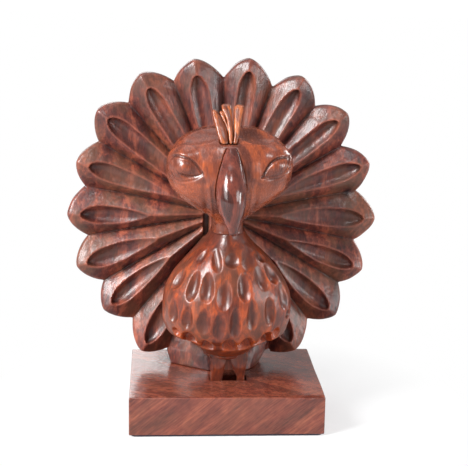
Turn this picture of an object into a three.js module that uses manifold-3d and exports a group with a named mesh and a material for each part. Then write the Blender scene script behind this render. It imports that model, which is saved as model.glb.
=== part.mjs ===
// Carved wooden bird stand for one pair of eyeglasses.
//
// A flat rectangular base carries a scalloped tail fan on a short faceted stem.
// A bird stands in front of the fan: breast and legs in one block, head and
// neck in another, with a long drooping beak let into the face and three crest
// feathers let into the forehead. The bridge of the glasses hangs over the
// beak and the folded temples lie in the slot between the head and the fan.
//
// Joinery: the stem has a tenon in the base and two countersunk wood screws
// from below; the feet are stub tenons; the breast is dowelled to a flat seat
// on the fan; the head is dowelled to the breast; the beak has a round peg.
//
// Millimetres. +X right, +Y back (away from the viewer), +Z up.
// Origin: centre of the underside, on the table.
import * as THREE from "three";
import { mergeVertices } from "three/addons/utils/BufferGeometryUtils.js";
import Module from "manifold-3d";

// ------------------------------------------------------- shared dimensions
const GAP = 0.3; // clearance between a piece and the one it is fitted to
const ROUND_GAP = 0.35; // radial clearance of the screws, neck dowel and peg
const CUT = 1; // how far a cutter runs past the face it opens

const BASE_WIDTH = 85;
const BASE_DEPTH = 65;
const BASE_TOP = 18;
const FELT_THICKNESS = 0.8;

const SEAT_Y = 5.9; // flat seat on the fan for the bird
const BODY_BACK = SEAT_Y - GAP;
const BODY_TOP = 86.2;
const HEAD_BOTTOM = BODY_TOP + GAP;
const WEB_TOP = 95; // top of the neck web, the floor of the slot

const SEAT_DOWEL = { radius: 3, holeRadius: 3.4, x: 0, levels: [48, 68], from: -6, to: 14 };
const NECK_DOWEL = { radius: 2.5, x: 0, y: -11, from: 76, to: 97 };
const PEG = { radius: 2.8, x: 0, z: 110, end: -15 };
const SCREW = { xs: [-8, 6], y: 14, bottom: 1.2, length: 30, radius: 2, headRadius: 4 };
const TENON = { x: [-14, 12], y: [9.5, 18.5], bottom: 9.5 };

// ----------------------------------------------------------------- helpers
const wasm = await Module();
wasm.setup();

function solid(geometry) {
  const bare = geometry.clone();
  bare.deleteAttribute("normal");
  bare.deleteAttribute("uv");
  const merged = mergeVertices(bare, 1e-4);
  return new wasm.Manifold(
    new wasm.Mesh({
      numProp: 3,
      vertProperties: new Float32Array(merged.attributes.position.array),
      triVerts: new Uint32Array(merged.index.array),
    }),
  );
}

function geometryOf(manifold) {
  const mesh = manifold.getMesh();
  const indexed = new THREE.BufferGeometry();
  const positions = new Float32Array(mesh.vertProperties);
  indexed.setAttribute("position", new THREE.BufferAttribute(positions, 3));
  indexed.setIndex(new THREE.BufferAttribute(new Uint32Array(mesh.triVerts), 1));
  const flat = indexed.toNonIndexed();
  flat.computeVertexNormals();
  return flat;
}

// Each argument is a [low, high] range.
function box([x0, x1], [y0, y1], [z0, z1]) {
  const geometry = new THREE.BoxGeometry(x1 - x0, y1 - y0, z1 - z0);
  return solid(geometry.translate((x0 + x1) / 2, (y0 + y1) / 2, (z0 + z1) / 2));
}

function cylinderZ({ x, y, radius, topRadius = radius, from, to }) {
  const geometry = new THREE.CylinderGeometry(topRadius, radius, to - from, 20);
  return solid(geometry.rotateX(Math.PI / 2).translate(x, y, (from + to) / 2));
}

function cylinderY({ x, z, radius, from, to, segments = 20 }) {
  const geometry = new THREE.CylinderGeometry(radius, radius, to - from, segments);
  return solid(geometry.translate(x, (from + to) / 2, z));
}

// Plate symmetric about X = 0, from the [x, z] points of its right half.
function symmetricPlate(half, from, to) {
  const left = half.map(([x, z]) => [-x, z]).reverse();
  const shape = new THREE.Shape([...half, ...left].map(([x, z]) => new THREE.Vector2(x, z)));
  const options = { depth: to - from, bevelEnabled: false };
  // The turn sends the extrusion along -Y.
  return solid(new THREE.ExtrudeGeometry(shape, options).rotateX(Math.PI / 2).translate(0, to, 0));
}

// Closed solid through rings of equal length, capped by fans about two centres.
// The rings run counter-clockwise seen from outside the end named by ccwFrom.
function skin({ rings, firstCentre, lastCentre, ccwFrom }) {
  const count = rings[0].length;
  const lastStart = (rings.length - 1) * count;
  const firstApex = rings.length * count;
  const index = [];
  const triangle = (a, b, c) => index.push(...(ccwFrom === "last" ? [a, b, c] : [a, c, b]));
  for (let k = 0; k + 1 < rings.length; k++)
    for (let i = 0; i < count; i++) {
      const here = k * count + i;
      const beside = k * count + ((i + 1) % count);
      triangle(here, beside, beside + count);
      triangle(here, beside + count, here + count);
    }
  for (let i = 0; i < count; i++) {
    const j = (i + 1) % count;
    triangle(j, i, firstApex);
    triangle(lastStart + i, lastStart + j, firstApex + 1);
  }
  const positions = new Float32Array([...rings.flat(), firstCentre, lastCentre].flat());
  const geometry = new THREE.BufferGeometry();
  geometry.setAttribute("position", new THREE.BufferAttribute(positions, 3));
  geometry.setIndex(index);
  return solid(geometry);
}

const centreOf = (ring) =>
  [0, 1, 2].map((axis) => ring.reduce((sum, point) => sum + point[axis] / ring.length, 0));

// Rings from the bottom up, each counter-clockwise seen from above.
function loft(rings) {
  const firstCentre = centreOf(rings[0]);
  const lastCentre = centreOf(rings.at(-1));
  return skin({ rings, firstCentre, lastCentre, ccwFrom: "last" });
}

// Horizontal ring; pointAt gets the cosine, the sine and the step number.
function ringAt(z, count, pointAt) {
  return Array.from({ length: count }, (_, i) => {
    const angle = (2 * Math.PI * i) / count;
    return [...pointAt(Math.cos(angle), Math.sin(angle), i), z];
  });
}

const rectangle = (x0, x1, y0, y1, z) => [[x0, y0, z], [x1, y0, z], [x1, y1, z], [x0, y1, z]];

const signedPower = (value, power) => Math.sign(value) * Math.abs(value) ** power;

// Linear interpolation in rows of [key, value], held at both ends.
function interpolate(rows, key) {
  if (key <= rows[0][0]) return rows[0][1];
  for (let i = 1; i < rows.length; i++)
    if (key <= rows[i][0]) {
      const [lowKey, low] = rows[i - 1];
      const [highKey, high] = rows[i];
      return low + ((high - low) * (key - lowKey)) / (highKey - lowKey);
    }
  return rows.at(-1)[1];
}

// Carved form about x: elliptical in front of its widest line, squarer behind.
// Rows: [z, half width, front y, y of the widest line, back y], bottom first.
function carved(rows, x, segments) {
  return loft(rows.map(([z, halfWidth, front, middle, back]) =>
    ringAt(z, segments, (cos, sin) => {
      const power = sin < 0 ? 1 : 0.5;
      const reach = sin < 0 ? middle - front : back - middle;
      return [x + signedPower(cos, power) * halfWidth, middle + signedPower(sin, power) * reach];
    })));
}

const subtractAll = (body, cutters) => cutters.reduce((rest, cutter) => rest.subtract(cutter), body);

// ----------------------------------------------------------- joint cutters
const seatDowelHoles = () => SEAT_DOWEL.levels.map((z) => cylinderY({
  x: SEAT_DOWEL.x, z, radius: SEAT_DOWEL.holeRadius,
  from: SEAT_DOWEL.from - GAP, to: SEAT_DOWEL.to + GAP, segments: 24,
}));

const neckDowelHole = (from, to) =>
  cylinderZ({ x: NECK_DOWEL.x, y: NECK_DOWEL.y, radius: NECK_DOWEL.radius + ROUND_GAP, from, to });

const screwHoles = (from, to) => SCREW.xs.map((x) =>
  cylinderZ({ x, y: SCREW.y, radius: SCREW.radius + ROUND_GAP, from, to }));

// -------------------------------------------------------------------- base
const BASE_CHAMFER = 0.7;
// One mortise for both feet.
const FEET_MORTISE = { x: [-6.9, 9.8], y: [-11.4, -4.2], bottom: 12 };
const COUNTERSINK = { radius: SCREW.headRadius + 0.4, topRadius: 2.2 };
const FELT = { inset: 0.6, cornerRadius: 2.5 };

function baseBlock() {
  const chamfer = BASE_CHAMFER;
  const outline = (inset, z) => rectangle(
    -BASE_WIDTH / 2 + inset, BASE_WIDTH / 2 - inset,
    -BASE_DEPTH / 2 + inset, BASE_DEPTH / 2 - inset, z,
  );
  const block = loft([
    outline(chamfer / 2, FELT_THICKNESS),
    outline(0, FELT_THICKNESS + chamfer / 2),
    outline(0, BASE_TOP - chamfer),
    outline(chamfer, BASE_TOP),
  ]);
  const withGap = ([low, high]) => [low - GAP, high + GAP];
  const top = BASE_TOP + CUT;
  const { radius, topRadius } = COUNTERSINK;
  return subtractAll(block, [
    box(withGap(TENON.x), withGap(TENON.y), [TENON.bottom - GAP, top]),
    box(FEET_MORTISE.x, FEET_MORTISE.y, [FEET_MORTISE.bottom, top]),
    ...screwHoles(-CUT, TENON.bottom + CUT),
    ...SCREW.xs.flatMap((x) => [
      cylinderZ({ x, y: SCREW.y, radius, from: -CUT, to: SCREW.bottom + 0.4 }),
      cylinderZ({
        x, y: SCREW.y, radius, topRadius,
        from: SCREW.bottom + 0.35, to: SCREW.bottom + 3.4,
      }),
    ]),
  ]);
}

function baseFelt() {
  const right = BASE_WIDTH / 2 - FELT.inset;
  const back = BASE_DEPTH / 2 - FELT.inset;
  const r = FELT.cornerRadius;
  const quarter = Math.PI / 2;
  const outline = new THREE.Shape();
  outline.moveTo(-right + r, -back);
  outline.lineTo(right - r, -back);
  outline.absarc(right - r, -back + r, r, -quarter, 0, false);
  outline.lineTo(right, back - r);
  outline.absarc(right - r, back - r, r, 0, quarter, false);
  outline.lineTo(-right + r, back);
  outline.absarc(-right + r, back - r, r, quarter, 2 * quarter, false);
  outline.lineTo(-right, -back + r);
  outline.absarc(-right + r, -back + r, r, 2 * quarter, 3 * quarter, false);
  const options = { depth: FELT_THICKNESS, bevelEnabled: false, curveSegments: 5 };
  return solid(new THREE.ExtrudeGeometry(outline, options));
}

// -------------------------------------------------------------- wood screw
// [height above the head's underside, radius] of the head and plain shank.
const SCREW_SHANK = [[0, SCREW.headRadius], [0.3, SCREW.headRadius], [2.7, 1.8], [9, 1.8]];
// sharpness sets how narrow the ridge is; taper is the length that thins to the point.
const THREAD = { pitch: 1.9, rootRadius: 1.25, height: 0.7, sharpness: 3.2, taper: 4.2 };
const CROSS = { halfLength: 2.2, halfWidth: 0.45, depth: 1.5 };
const POINT_RADIUS = 0.08;

// Countersunk head with a cross recess, plain shank, helical thread, point.
function woodScrew(x) {
  const { y, bottom, length } = SCREW;
  const sides = 12;
  const ring = (height, radiusAt) => ringAt(bottom + height, sides, (cos, sin, i) => {
    const radius = radiusAt(i);
    return [x + radius * cos, y + radius * sin];
  });
  const threadRing = (height) => ring(height, (i) => {
    const phase = (((height / THREAD.pitch - i / sides) % 1) + 1) % 1;
    const ridge = Math.max(0, 1 - Math.abs(phase - 0.5) * THREAD.sharpness);
    const taper = Math.min(1, (length - height) / THREAD.taper);
    return (THREAD.rootRadius + THREAD.height * ridge) * taper;
  });

  const threadHeights = [];
  for (let height = SCREW_SHANK.at(-1)[0]; height < length - 4; height += THREAD.pitch / 3)
    threadHeights.push(height + 0.01);
  threadHeights.push(length - 3, length - 2, length - 1);

  const body = loft([
    ...SCREW_SHANK.map(([height, radius]) => ring(height, () => radius)),
    ...threadHeights.map(threadRing),
    ring(length, () => POINT_RADIUS),
  ]);
  const arm = (halfX, halfY) => box(
    [x - halfX, x + halfX], [y - halfY, y + halfY], [bottom - CUT, bottom + CROSS.depth],
  );
  return subtractAll(body, [
    arm(CROSS.halfLength, CROSS.halfWidth),
    arm(CROSS.halfWidth, CROSS.halfLength),
  ]);
}

// ---------------------------------------------------------------- tail fan
const FAN_X = -1;
const FAN_Z = 90;
const FAN_BACK = 20; // back plane of the fan board

// Feathers: [angle and radius of the notch before the tip, angle and radius of
// the tip]. Degrees from +X towards +Z, which is counter-clockwise from the front.
const FEATHERS = [
  [9.5, 61.4, 20, 69.6], [30, 61.3, 40, 71.4], [50, 63.4, 60.5, 70.6], [69.5, 60.6, 81, 70.0],
  [90.5, 60.5, 101.5, 69.7], [111, 63.1, 121, 72.2], [131, 65.0, 140.5, 72.6],
  [150.5, 64.0, 160.5, 69.4], [169.5, 63.0, 180.5, 69.8], [190.5, 62.0, 200.5, 70.3],
  [211, 63.2, 220, 70.3], [231, 64.8, 240.5, 74.5], [289.3, 71.0, 298, 73.4],
  [308.5, 65.0, 318, 71.2], [328.5, 63.7, 338, 69.3], [348, 62.0, 358.5, 69.2],
];
const FEATHER_BEFORE_STEM = 11;
// [angle, radius] of the rim across the stem, from the notch that begins it.
const STEM_RIM = [
  [249.2, 69.6], [252.5, 69], [257, 66], [263, 62], [270, 60], [277, 62], [283, 67], [286.5, 69.5],
];
// Samples across a feather: 0 at the tip, -1 and 1 at the notches.
const FEATHER_STEPS = [-1, -0.72, -0.45, -0.22, 0, 0.22, 0.45, 0.72];
const FEATHER_POWER = 1.6; // roundness of the rim and of the ridge between grooves

// Relief by share of the rim radius: y of the ridges, added depth of the
// grooves, y of the back.
const RIDGE = [
  [0, 7.6], [0.14, 7.3], [0.3, 6.9], [0.5, 6.4], [0.7, 6.0], [0.84, 6.2], [0.92, 7.4], [0.97, 9.0],
  [1, 11.0],
];
const GROOVE = [[0, 0.1], [0.14, 1.2], [0.3, 3.4], [0.5, 5.4], [0.75, 6.8], [0.9, 6.6], [1, 4.2]];
const BACK = [[0, FAN_BACK], [0.82, FAN_BACK], [0.94, 18.8], [1, 17.4]];
const FRONT_SHARES = [0.14, 0.3, 0.47, 0.6, 0.74, 0.85, 0.92, 0.97, 1];
const BACK_SHARES = [1, 0.94, 0.82, 0.3];
// Hollow along each feather; skew shifts its widest point, roundness fills its ends.
const GOUGE = { from: 0.47, to: 0.915, halfWidth: 4.1, depth: 2.4, skew: 0.62, roundness: 0.7 };

// Right half of the seat, [x, z]: a little smaller than the bird's own back.
const SEAT_OUTLINE = [
  [9, 30.5], [14, 35], [17.5, 38.5], [21.5, 43], [24.3, 49], [24.4, 56], [22.2, 63], [18, 70],
  [13.6, 75], [9.2, 80.3], [7.2, 84], [7.2, WEB_TOP - 0.4],
];
const SEAT_DEPTH = 9.5;

// Stem facets, bottom first: height and the [x, y] corners.
const STEM_LEVELS = [
  { z: BASE_TOP, corners: [
    [-24, 12], [-13.5, 5.2], [-7, 1.2], [9, 1.2], [13, 3.0], [18, 8.2], [20.5, 14], [20.5, 21.5],
    [-23.5, 21.5]] },
  { z: 24.5, corners: [
    [-26, 13], [-15.5, 6.6], [-8, 3.6], [9.5, 3.6], [14.5, 5.0], [20.5, 9.5], [23.5, 15],
    [23.5, 21], [-25.5, 21]] },
  { z: 29, corners: [
    [-24, 13.5], [-15, 7.4], [-9, 6.2], [9.5, 6.2], [14.5, 6.8], [20, 10], [23, 15], [23, 20],
    [-24, 20]] },
  { z: 44, corners: [
    [-15, 14], [-12, 10], [-8, 8], [8, 8], [12, 9], [14, 11], [15, 15], [15, 20], [-15, 20]] },
];

// Directions around the fan. notchShare runs from 0 on a ridge to 1 in a groove.
function fanSamples() {
  const samples = [];
  FEATHERS.forEach(([startAngle, startRadius, tipAngle, tipRadius], i) => {
    const beforeStem = i === FEATHER_BEFORE_STEM;
    const end = beforeStem ? STEM_RIM[0] : FEATHERS[(i + 1) % FEATHERS.length];
    const endAngle = end[0] < tipAngle ? end[0] + 360 : end[0];
    for (const step of FEATHER_STEPS) {
      const notchAngle = step < 0 ? startAngle : endAngle;
      const notchRadius = step < 0 ? startRadius : end[1];
      const notchShare = Math.abs(step);
      samples.push({
        angle: tipAngle + notchShare * (notchAngle - tipAngle),
        radius: notchRadius + (tipRadius - notchRadius) * (1 - notchShare ** FEATHER_POWER),
        notchShare,
        tipAngle,
      });
    }
    if (beforeStem)
      STEM_RIM.forEach(([angle, radius], k) =>
        samples.push({ angle, radius, notchShare: k === 0 ? 1 : 0.9, onStem: true }));
  });
  return samples;
}

function gougeDepth({ angle, radius, tipAngle, onStem }, share) {
  if (onStem || share <= GOUGE.from || share >= GOUGE.to) return 0;
  const along = (share - GOUGE.from) / (GOUGE.to - GOUGE.from);
  const width = Math.sin(Math.PI * along ** GOUGE.skew) ** GOUGE.roundness;
  const offset = Math.abs(radius * share * Math.sin(((angle - tipAngle) * Math.PI) / 180));
  const across = offset / Math.max(GOUGE.halfWidth * width, 0.01);
  return across < 1 ? GOUGE.depth * width * (1 - across * across) : 0;
}

const fanFront = (sample, share) =>
  interpolate(RIDGE, share)
  + interpolate(GROOVE, share) * sample.notchShare ** FEATHER_POWER
  + gougeDepth(sample, share);

// Ridges run to the feather tips and grooves to the notches.
function fanDisc() {
  const samples = fanSamples();
  const ring = (share, surfaceY) => samples.map((sample) => {
    const angle = (sample.angle * Math.PI) / 180;
    const reach = sample.radius * share;
    return [
      FAN_X + reach * Math.cos(angle), surfaceY(sample, share), FAN_Z + reach * Math.sin(angle),
    ];
  });
  return skin({
    rings: [
      ...FRONT_SHARES.map((share) => ring(share, fanFront)),
      ...BACK_SHARES.map((share) => ring(share, () => interpolate(BACK, share))),
    ],
    firstCentre: [FAN_X, RIDGE[0][1], FAN_Z],
    lastCentre: [FAN_X, FAN_BACK, FAN_Z],
    ccwFrom: "first",
  });
}

// Faceted stem between the fan and the base, with its tenon.
function fanStem() {
  const body = loft(STEM_LEVELS.map(({ z, corners }) => corners.map(([x, y]) => [x, y, z])));
  return body.add(box(TENON.x, TENON.y, [TENON.bottom, BASE_TOP + 1]));
}

function tailFan() {
  const seat = symmetricPlate(SEAT_OUTLINE, SEAT_Y, SEAT_Y + SEAT_DEPTH);
  return subtractAll(fanDisc().add(seat).add(fanStem()), [
    ...seatDowelHoles(),
    ...screwHoles(TENON.bottom - CUT, SCREW.bottom + SCREW.length + 0.6),
  ]);
}

// --------------------------------------------------------- breast and legs
const BODY_X = 0.4;
// Columns as for carved().
const BREAST = [
  [28.0, 10.0, -12.0, -4, BODY_BACK], [31.5, 14.0, -15.5, -5, BODY_BACK],
  [35.2, 18.2, -18.8, -6, BODY_BACK], [38.2, 21.2, -21.2, -6, BODY_BACK],
  [39.4, 25.0, -24.8, -7, BODY_BACK], [43.0, 27.2, -27.6, -7, BODY_BACK],
  [48.0, 28.4, -29.2, -7, BODY_BACK], [53.0, 28.5, -29.8, -7, BODY_BACK],
  [58.5, 27.8, -29.4, -7, BODY_BACK], [64.0, 25.4, -28.0, -7, BODY_BACK],
  [70.0, 21.4, -25.8, -7, BODY_BACK], [75.0, 17.2, -23.4, -7, BODY_BACK],
  [79.5, 12.6, -21.0, -7, BODY_BACK], [83.5, 8.9, -18.8, -6, BODY_BACK],
  [BODY_TOP, 7.0, -17.4, -6, BODY_BACK],
];
// [left, right] of each leg at the foot and at the top.
const LEGS = [
  { foot: [-5.9, -1.1], top: [-7.0, 1.1] },
  { foot: [4.1, 9.0], top: [2.0, 9.9] },
];

function leg({ foot: [left, right], top }) {
  return loft([
    rectangle(left, right, -10.3, -5.0, 12.4),
    rectangle(left, right, -10.3, -5.0, BASE_TOP + 0.2),
    rectangle(left - 0.2, right + 0.3, -11.0, -4.6, 20.5),
    rectangle(...top, -12.0, -3.2, 29.5),
  ]);
}

function breastAndLegs() {
  const [leftLeg, rightLeg] = LEGS.map(leg);
  return subtractAll(carved(BREAST, BODY_X, 36).add(leftLeg.add(rightLeg)), [
    ...seatDowelHoles(),
    neckDowelHole(NECK_DOWEL.from - GAP, BODY_TOP + CUT),
  ]);
}

// ---------------------------------------------------------- crest feathers
// Rows of [z, centre x, half width, centre y, half thickness], bottom first.
const CREST_FEATHERS = {
  crest_feather_left: [
    [126.6, -3.4, 1.5, -25.0, 1.5], [130.5, -4.3, 1.8, -22.0, 1.7],
    [135.0, -5.3, 2.0, -18.9, 1.7], [138.3, -6.3, 1.9, -17.0, 1.5],
    [139.9, -6.9, 1.0, -16.2, 0.9],
  ],
  crest_feather_centre: [
    [126.6, -0.5, 1.1, -25.2, 1.6], [130.5, -0.7, 1.4, -22.2, 1.9],
    [135.5, -1.0, 1.8, -18.8, 1.9], [140.4, -1.6, 2.2, -15.9, 1.8],
    [142.2, -1.7, 1.4, -14.9, 1.0],
  ],
  crest_feather_right: [
    [126.6, 2.4, 1.2, -25.0, 1.5], [130.5, 3.0, 1.4, -22.0, 1.7],
    [135.5, 3.6, 1.7, -18.7, 1.7], [140.2, 4.2, 2.1, -15.9, 1.6],
    [141.9, 4.3, 1.4, -15.0, 0.9],
  ],
};

// With grow above 0 it is the cutter for the feather's socket.
function crestFeather(rows, grow = 0) {
  return loft(rows.map(([z, x, halfWidth, y, halfThickness], k) => {
    const endShift = k === 0 ? -grow : k === rows.length - 1 ? grow : 0;
    return ringAt(z + endShift, 12, (cos, sin) => [
      x + signedPower(cos, 2 / 3) * (halfWidth + grow),
      y + signedPower(sin, 2 / 3) * (halfThickness + grow),
    ]);
  }));
}

// -------------------------------------------------------------------- beak
const BEAK_BACK = -25.2;
// Columns as for carved().
const BEAK = [
  [89.6, 0.4, -34.9, -34.5, -34.1], [90.4, 1.1, -35.6, -34.0, -33.0],
  [92.2, 2.2, -36.5, -33.2, -31.2], [95.8, 3.7, -37.8, -32.0, -28.4],
  [100.4, 5.1, -38.7, -31.0, -26.2], [104.1, 6.1, -38.9, -30.5, BEAK_BACK],
  [107.8, 6.4, -38.3, -30.0, BEAK_BACK], [112.0, 5.7, -36.6, -29.5, BEAK_BACK],
  [116.2, 4.5, -33.8, -28.5, BEAK_BACK], [119.2, 3.9, -31.4, -27.5, BEAK_BACK],
  [122.6, 4.1, -29.4, -27.0, BEAK_BACK], [126.0, 4.6, -27.9, -26.4, BEAK_BACK],
];

function beak() {
  const { x, z, radius, end } = PEG;
  return carved(BEAK, 0, 24).add(cylinderY({ x, z, radius, from: BEAK_BACK - 2, to: end }));
}

// Cutter with the beak's front outline, wider at the sides and raised at the top.
function beakRecess() {
  const outline = BEAK.map(([z, halfWidth]) => [halfWidth + GAP, z]);
  outline.at(-1)[1] += GAP;
  const back = BEAK_BACK + GAP;
  return symmetricPlate(outline, back - 20, back);
}

// ----------------------------------------------------------- head and neck
const HEAD_BACK = -6;
// Columns as for carved().
const HEAD = [
  [HEAD_BOTTOM, 6.6, -17.2, -11, -5], [89.5, 6.7, -17.4, -11, -5], [92.0, 7.6, -18.6, -11, -5.4],
  [94.6, 10.6, -20.6, -11, HEAD_BACK], [98.0, 15.6, -23.0, -11.5, HEAD_BACK],
  [102.4, 21.4, -25.6, -12, HEAD_BACK], [107.0, 25.3, -27.6, -12, HEAD_BACK],
  [112.8, 27.0, -28.6, -12, HEAD_BACK], [118.2, 26.2, -28.2, -12, HEAD_BACK],
  [122.0, 24.6, -26.8, -12, HEAD_BACK], [125.5, 22.5, -24.8, -12, HEAD_BACK],
  [128.4, 19.4, -22.2, -12, HEAD_BACK], [130.8, 14.0, -19.4, -11.5, HEAD_BACK],
  [132.2, 8.6, -17.0, -11.5, -7], [132.9, 4.0, -14.5, -11.5, -9],
];
const WEB = { x: [-7.5, 7.5], y: [-9, BODY_BACK], z: [HEAD_BOTTOM, WEB_TOP] };
// Low dome on each flank of the face: half sizes, turns in radians, centre.
const EYE = { size: [6.2, 2.4, 3.8], turnY: 0.55, turnZ: 0.56, x: 18.4, y: -22.8, z: 116.8 };

function eye(side) {
  const dome = new THREE.SphereGeometry(1, 14, 9).scale(...EYE.size);
  dome.rotateY(-side * EYE.turnY).rotateZ(side * EYE.turnZ);
  return solid(dome.translate(side * EYE.x, EYE.y, EYE.z));
}

function headAndNeck() {
  const body = carved(HEAD, 0, 36).add(box(WEB.x, WEB.y, WEB.z)).add(eye(-1)).add(eye(1));
  const pegHole = cylinderY({
    x: PEG.x, z: PEG.z, radius: PEG.radius + ROUND_GAP, from: BEAK_BACK - CUT, to: PEG.end + GAP,
  });
  return subtractAll(body, [
    beakRecess(),
    pegHole,
    neckDowelHole(HEAD_BOTTOM - CUT, NECK_DOWEL.to + GAP),
    ...Object.values(CREST_FEATHERS).map((rows) => crestFeather(rows, GAP)),
  ]);
}

// ------------------------------------------------------------------ dowels
// Chamfered dowel along +Y from its own origin.
function dowelGeometry({ radius, from, to }, chamfer) {
  const length = to - from;
  const profile = [
    [0, 0], [radius - chamfer, 0], [radius, chamfer],
    [radius, length - chamfer], [radius - chamfer, length], [0, length],
  ];
  return new THREE.LatheGeometry(profile.map(([x, y]) => new THREE.Vector2(x, y)), 16);
}

// --------------------------------------------------------------- materials
const matte = (color, roughness, metalness = 0) =>
  new THREE.MeshStandardMaterial({ color, roughness, metalness });
const wood = ({ color, roughness }) => matte(color, roughness);
const MATERIALS = {
  base: wood({ color: 0x7c3f27, roughness: 0.35 }),
  fan: wood({ color: 0x6a3526, roughness: 0.38 }),
  body: wood({ color: 0x97502b, roughness: 0.3 }),
  beak: wood({ color: 0x5e2c1f, roughness: 0.22 }),
  crest: wood({ color: 0xb0663a, roughness: 0.4 }),
  dowel: wood({ color: 0xcfa877, roughness: 0.6 }),
  felt: matte(0x1b1d2c, 0.95),
  screw: matte(0xc9b27a, 0.35, 1),
};

// ---------------------------------------------------------------- assembly
function addMesh(parent, name, geometry, material) {
  const mesh = new THREE.Mesh(geometry, material);
  mesh.name = name;
  parent.add(mesh);
  return mesh;
}
const addPiece = (parent, name, manifold, material) =>
  addMesh(parent, name, geometryOf(manifold), material);

const stand = new THREE.Group();

const base = new THREE.Group();
addPiece(base, "base_block", baseBlock(), MATERIALS.base);
addPiece(base, "base_felt", baseFelt(), MATERIALS.felt);
["base_screw_left", "base_screw_right"].forEach((name, i) =>
  addPiece(base, name, woodScrew(SCREW.xs[i]), MATERIALS.screw));
stand.add(base);

addPiece(stand, "tail_fan", tailFan(), MATERIALS.fan);

const bird = new THREE.Group();
addPiece(bird, "breast_and_legs", breastAndLegs(), MATERIALS.body);
addPiece(bird, "head_and_neck", headAndNeck(), MATERIALS.body);
addPiece(bird, "beak", beak(), MATERIALS.beak);
for (const [name, rows] of Object.entries(CREST_FEATHERS))
  addPiece(bird, name, crestFeather(rows), MATERIALS.crest);
stand.add(bird);

const seatDowel = dowelGeometry(SEAT_DOWEL, 0.6);
["breast_dowel_lower", "breast_dowel_upper"].forEach((name, i) =>
  addMesh(stand, name, seatDowel, MATERIALS.dowel)
    .position.set(SEAT_DOWEL.x, SEAT_DOWEL.from, SEAT_DOWEL.levels[i]));

const neckDowel = addMesh(stand, "neck_dowel", dowelGeometry(NECK_DOWEL, 0.5), MATERIALS.dowel);
neckDowel.rotation.x = Math.PI / 2;
neckDowel.position.set(NECK_DOWEL.x, NECK_DOWEL.y, NECK_DOWEL.from);

export default stand;
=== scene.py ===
import math
import bpy, bmesh
import numpy as np
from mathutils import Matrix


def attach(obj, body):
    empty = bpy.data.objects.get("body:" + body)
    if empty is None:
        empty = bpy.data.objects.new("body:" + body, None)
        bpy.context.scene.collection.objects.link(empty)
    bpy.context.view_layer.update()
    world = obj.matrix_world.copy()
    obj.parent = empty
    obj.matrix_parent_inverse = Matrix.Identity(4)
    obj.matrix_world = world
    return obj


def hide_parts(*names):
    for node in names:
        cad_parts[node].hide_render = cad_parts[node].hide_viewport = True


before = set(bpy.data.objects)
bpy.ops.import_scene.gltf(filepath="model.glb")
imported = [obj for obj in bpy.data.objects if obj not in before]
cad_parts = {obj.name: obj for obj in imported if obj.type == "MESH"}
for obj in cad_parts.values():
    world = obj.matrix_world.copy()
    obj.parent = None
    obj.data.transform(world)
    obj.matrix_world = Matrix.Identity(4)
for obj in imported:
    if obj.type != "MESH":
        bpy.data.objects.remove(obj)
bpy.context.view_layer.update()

import openvdb as vdb
from mathutils import Vector, Matrix

# Looks of the carved wooden bird stand. Lengths below are millimetres in the CAD
# frame (+X right, +Y back, +Z up); meshes are written in metres.
MM = 0.001


# ------------------------------------------------------------------ numeric helpers
def pchip(xs, ys):
    """Monotone cubic through the points; flat outside them."""
    xs = np.array(xs, float); ys = np.array(ys, float)
    h = np.diff(xs); d = np.diff(ys) / h
    m = np.zeros_like(ys)
    for k in range(1, len(xs) - 1):
        if d[k - 1] * d[k] > 0:
            w1 = 2 * h[k] + h[k - 1]; w2 = h[k] + 2 * h[k - 1]
            m[k] = (w1 + w2) / (w1 / d[k - 1] + w2 / d[k])
    m[0], m[-1] = d[0], d[-1]

    def f(x):
        x = np.clip(np.asarray(x, float), xs[0], xs[-1])
        k = np.clip(np.searchsorted(xs, x, side="right") - 1, 0, len(h) - 1)
        t = (x - xs[k]) / h[k]
        return ((2 * t**3 - 3 * t**2 + 1) * ys[k] + (t**3 - 2 * t**2 + t) * h[k] * m[k]
                + (-2 * t**3 + 3 * t**2) * ys[k + 1] + (t**3 - t**2) * h[k] * m[k + 1])
    return f


def smax(a, b, k):
    h = np.maximum(k - np.abs(a - b), 0) / k
    return np.maximum(a, b) + h * h * k * 0.25


def smin(a, b, k):
    h = np.maximum(k - np.abs(a - b), 0) / k
    return np.minimum(a, b) - h * h * k * 0.25


def wobble(x, y, z, scale, seed):
    """Smooth, repeatable unevenness in -1..1, from a few crossed waves."""
    r = np.random.default_rng(seed)
    out = 0.0
    for i in range(5):
        k = r.normal(size=3); k *= (0.7 + 0.25 * i) / scale / np.linalg.norm(k)
        out = out + np.sin(k[0] * x + k[1] * y + k[2] * z + r.uniform(0, 6.28)) / 5
    return out * 1.8


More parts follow.
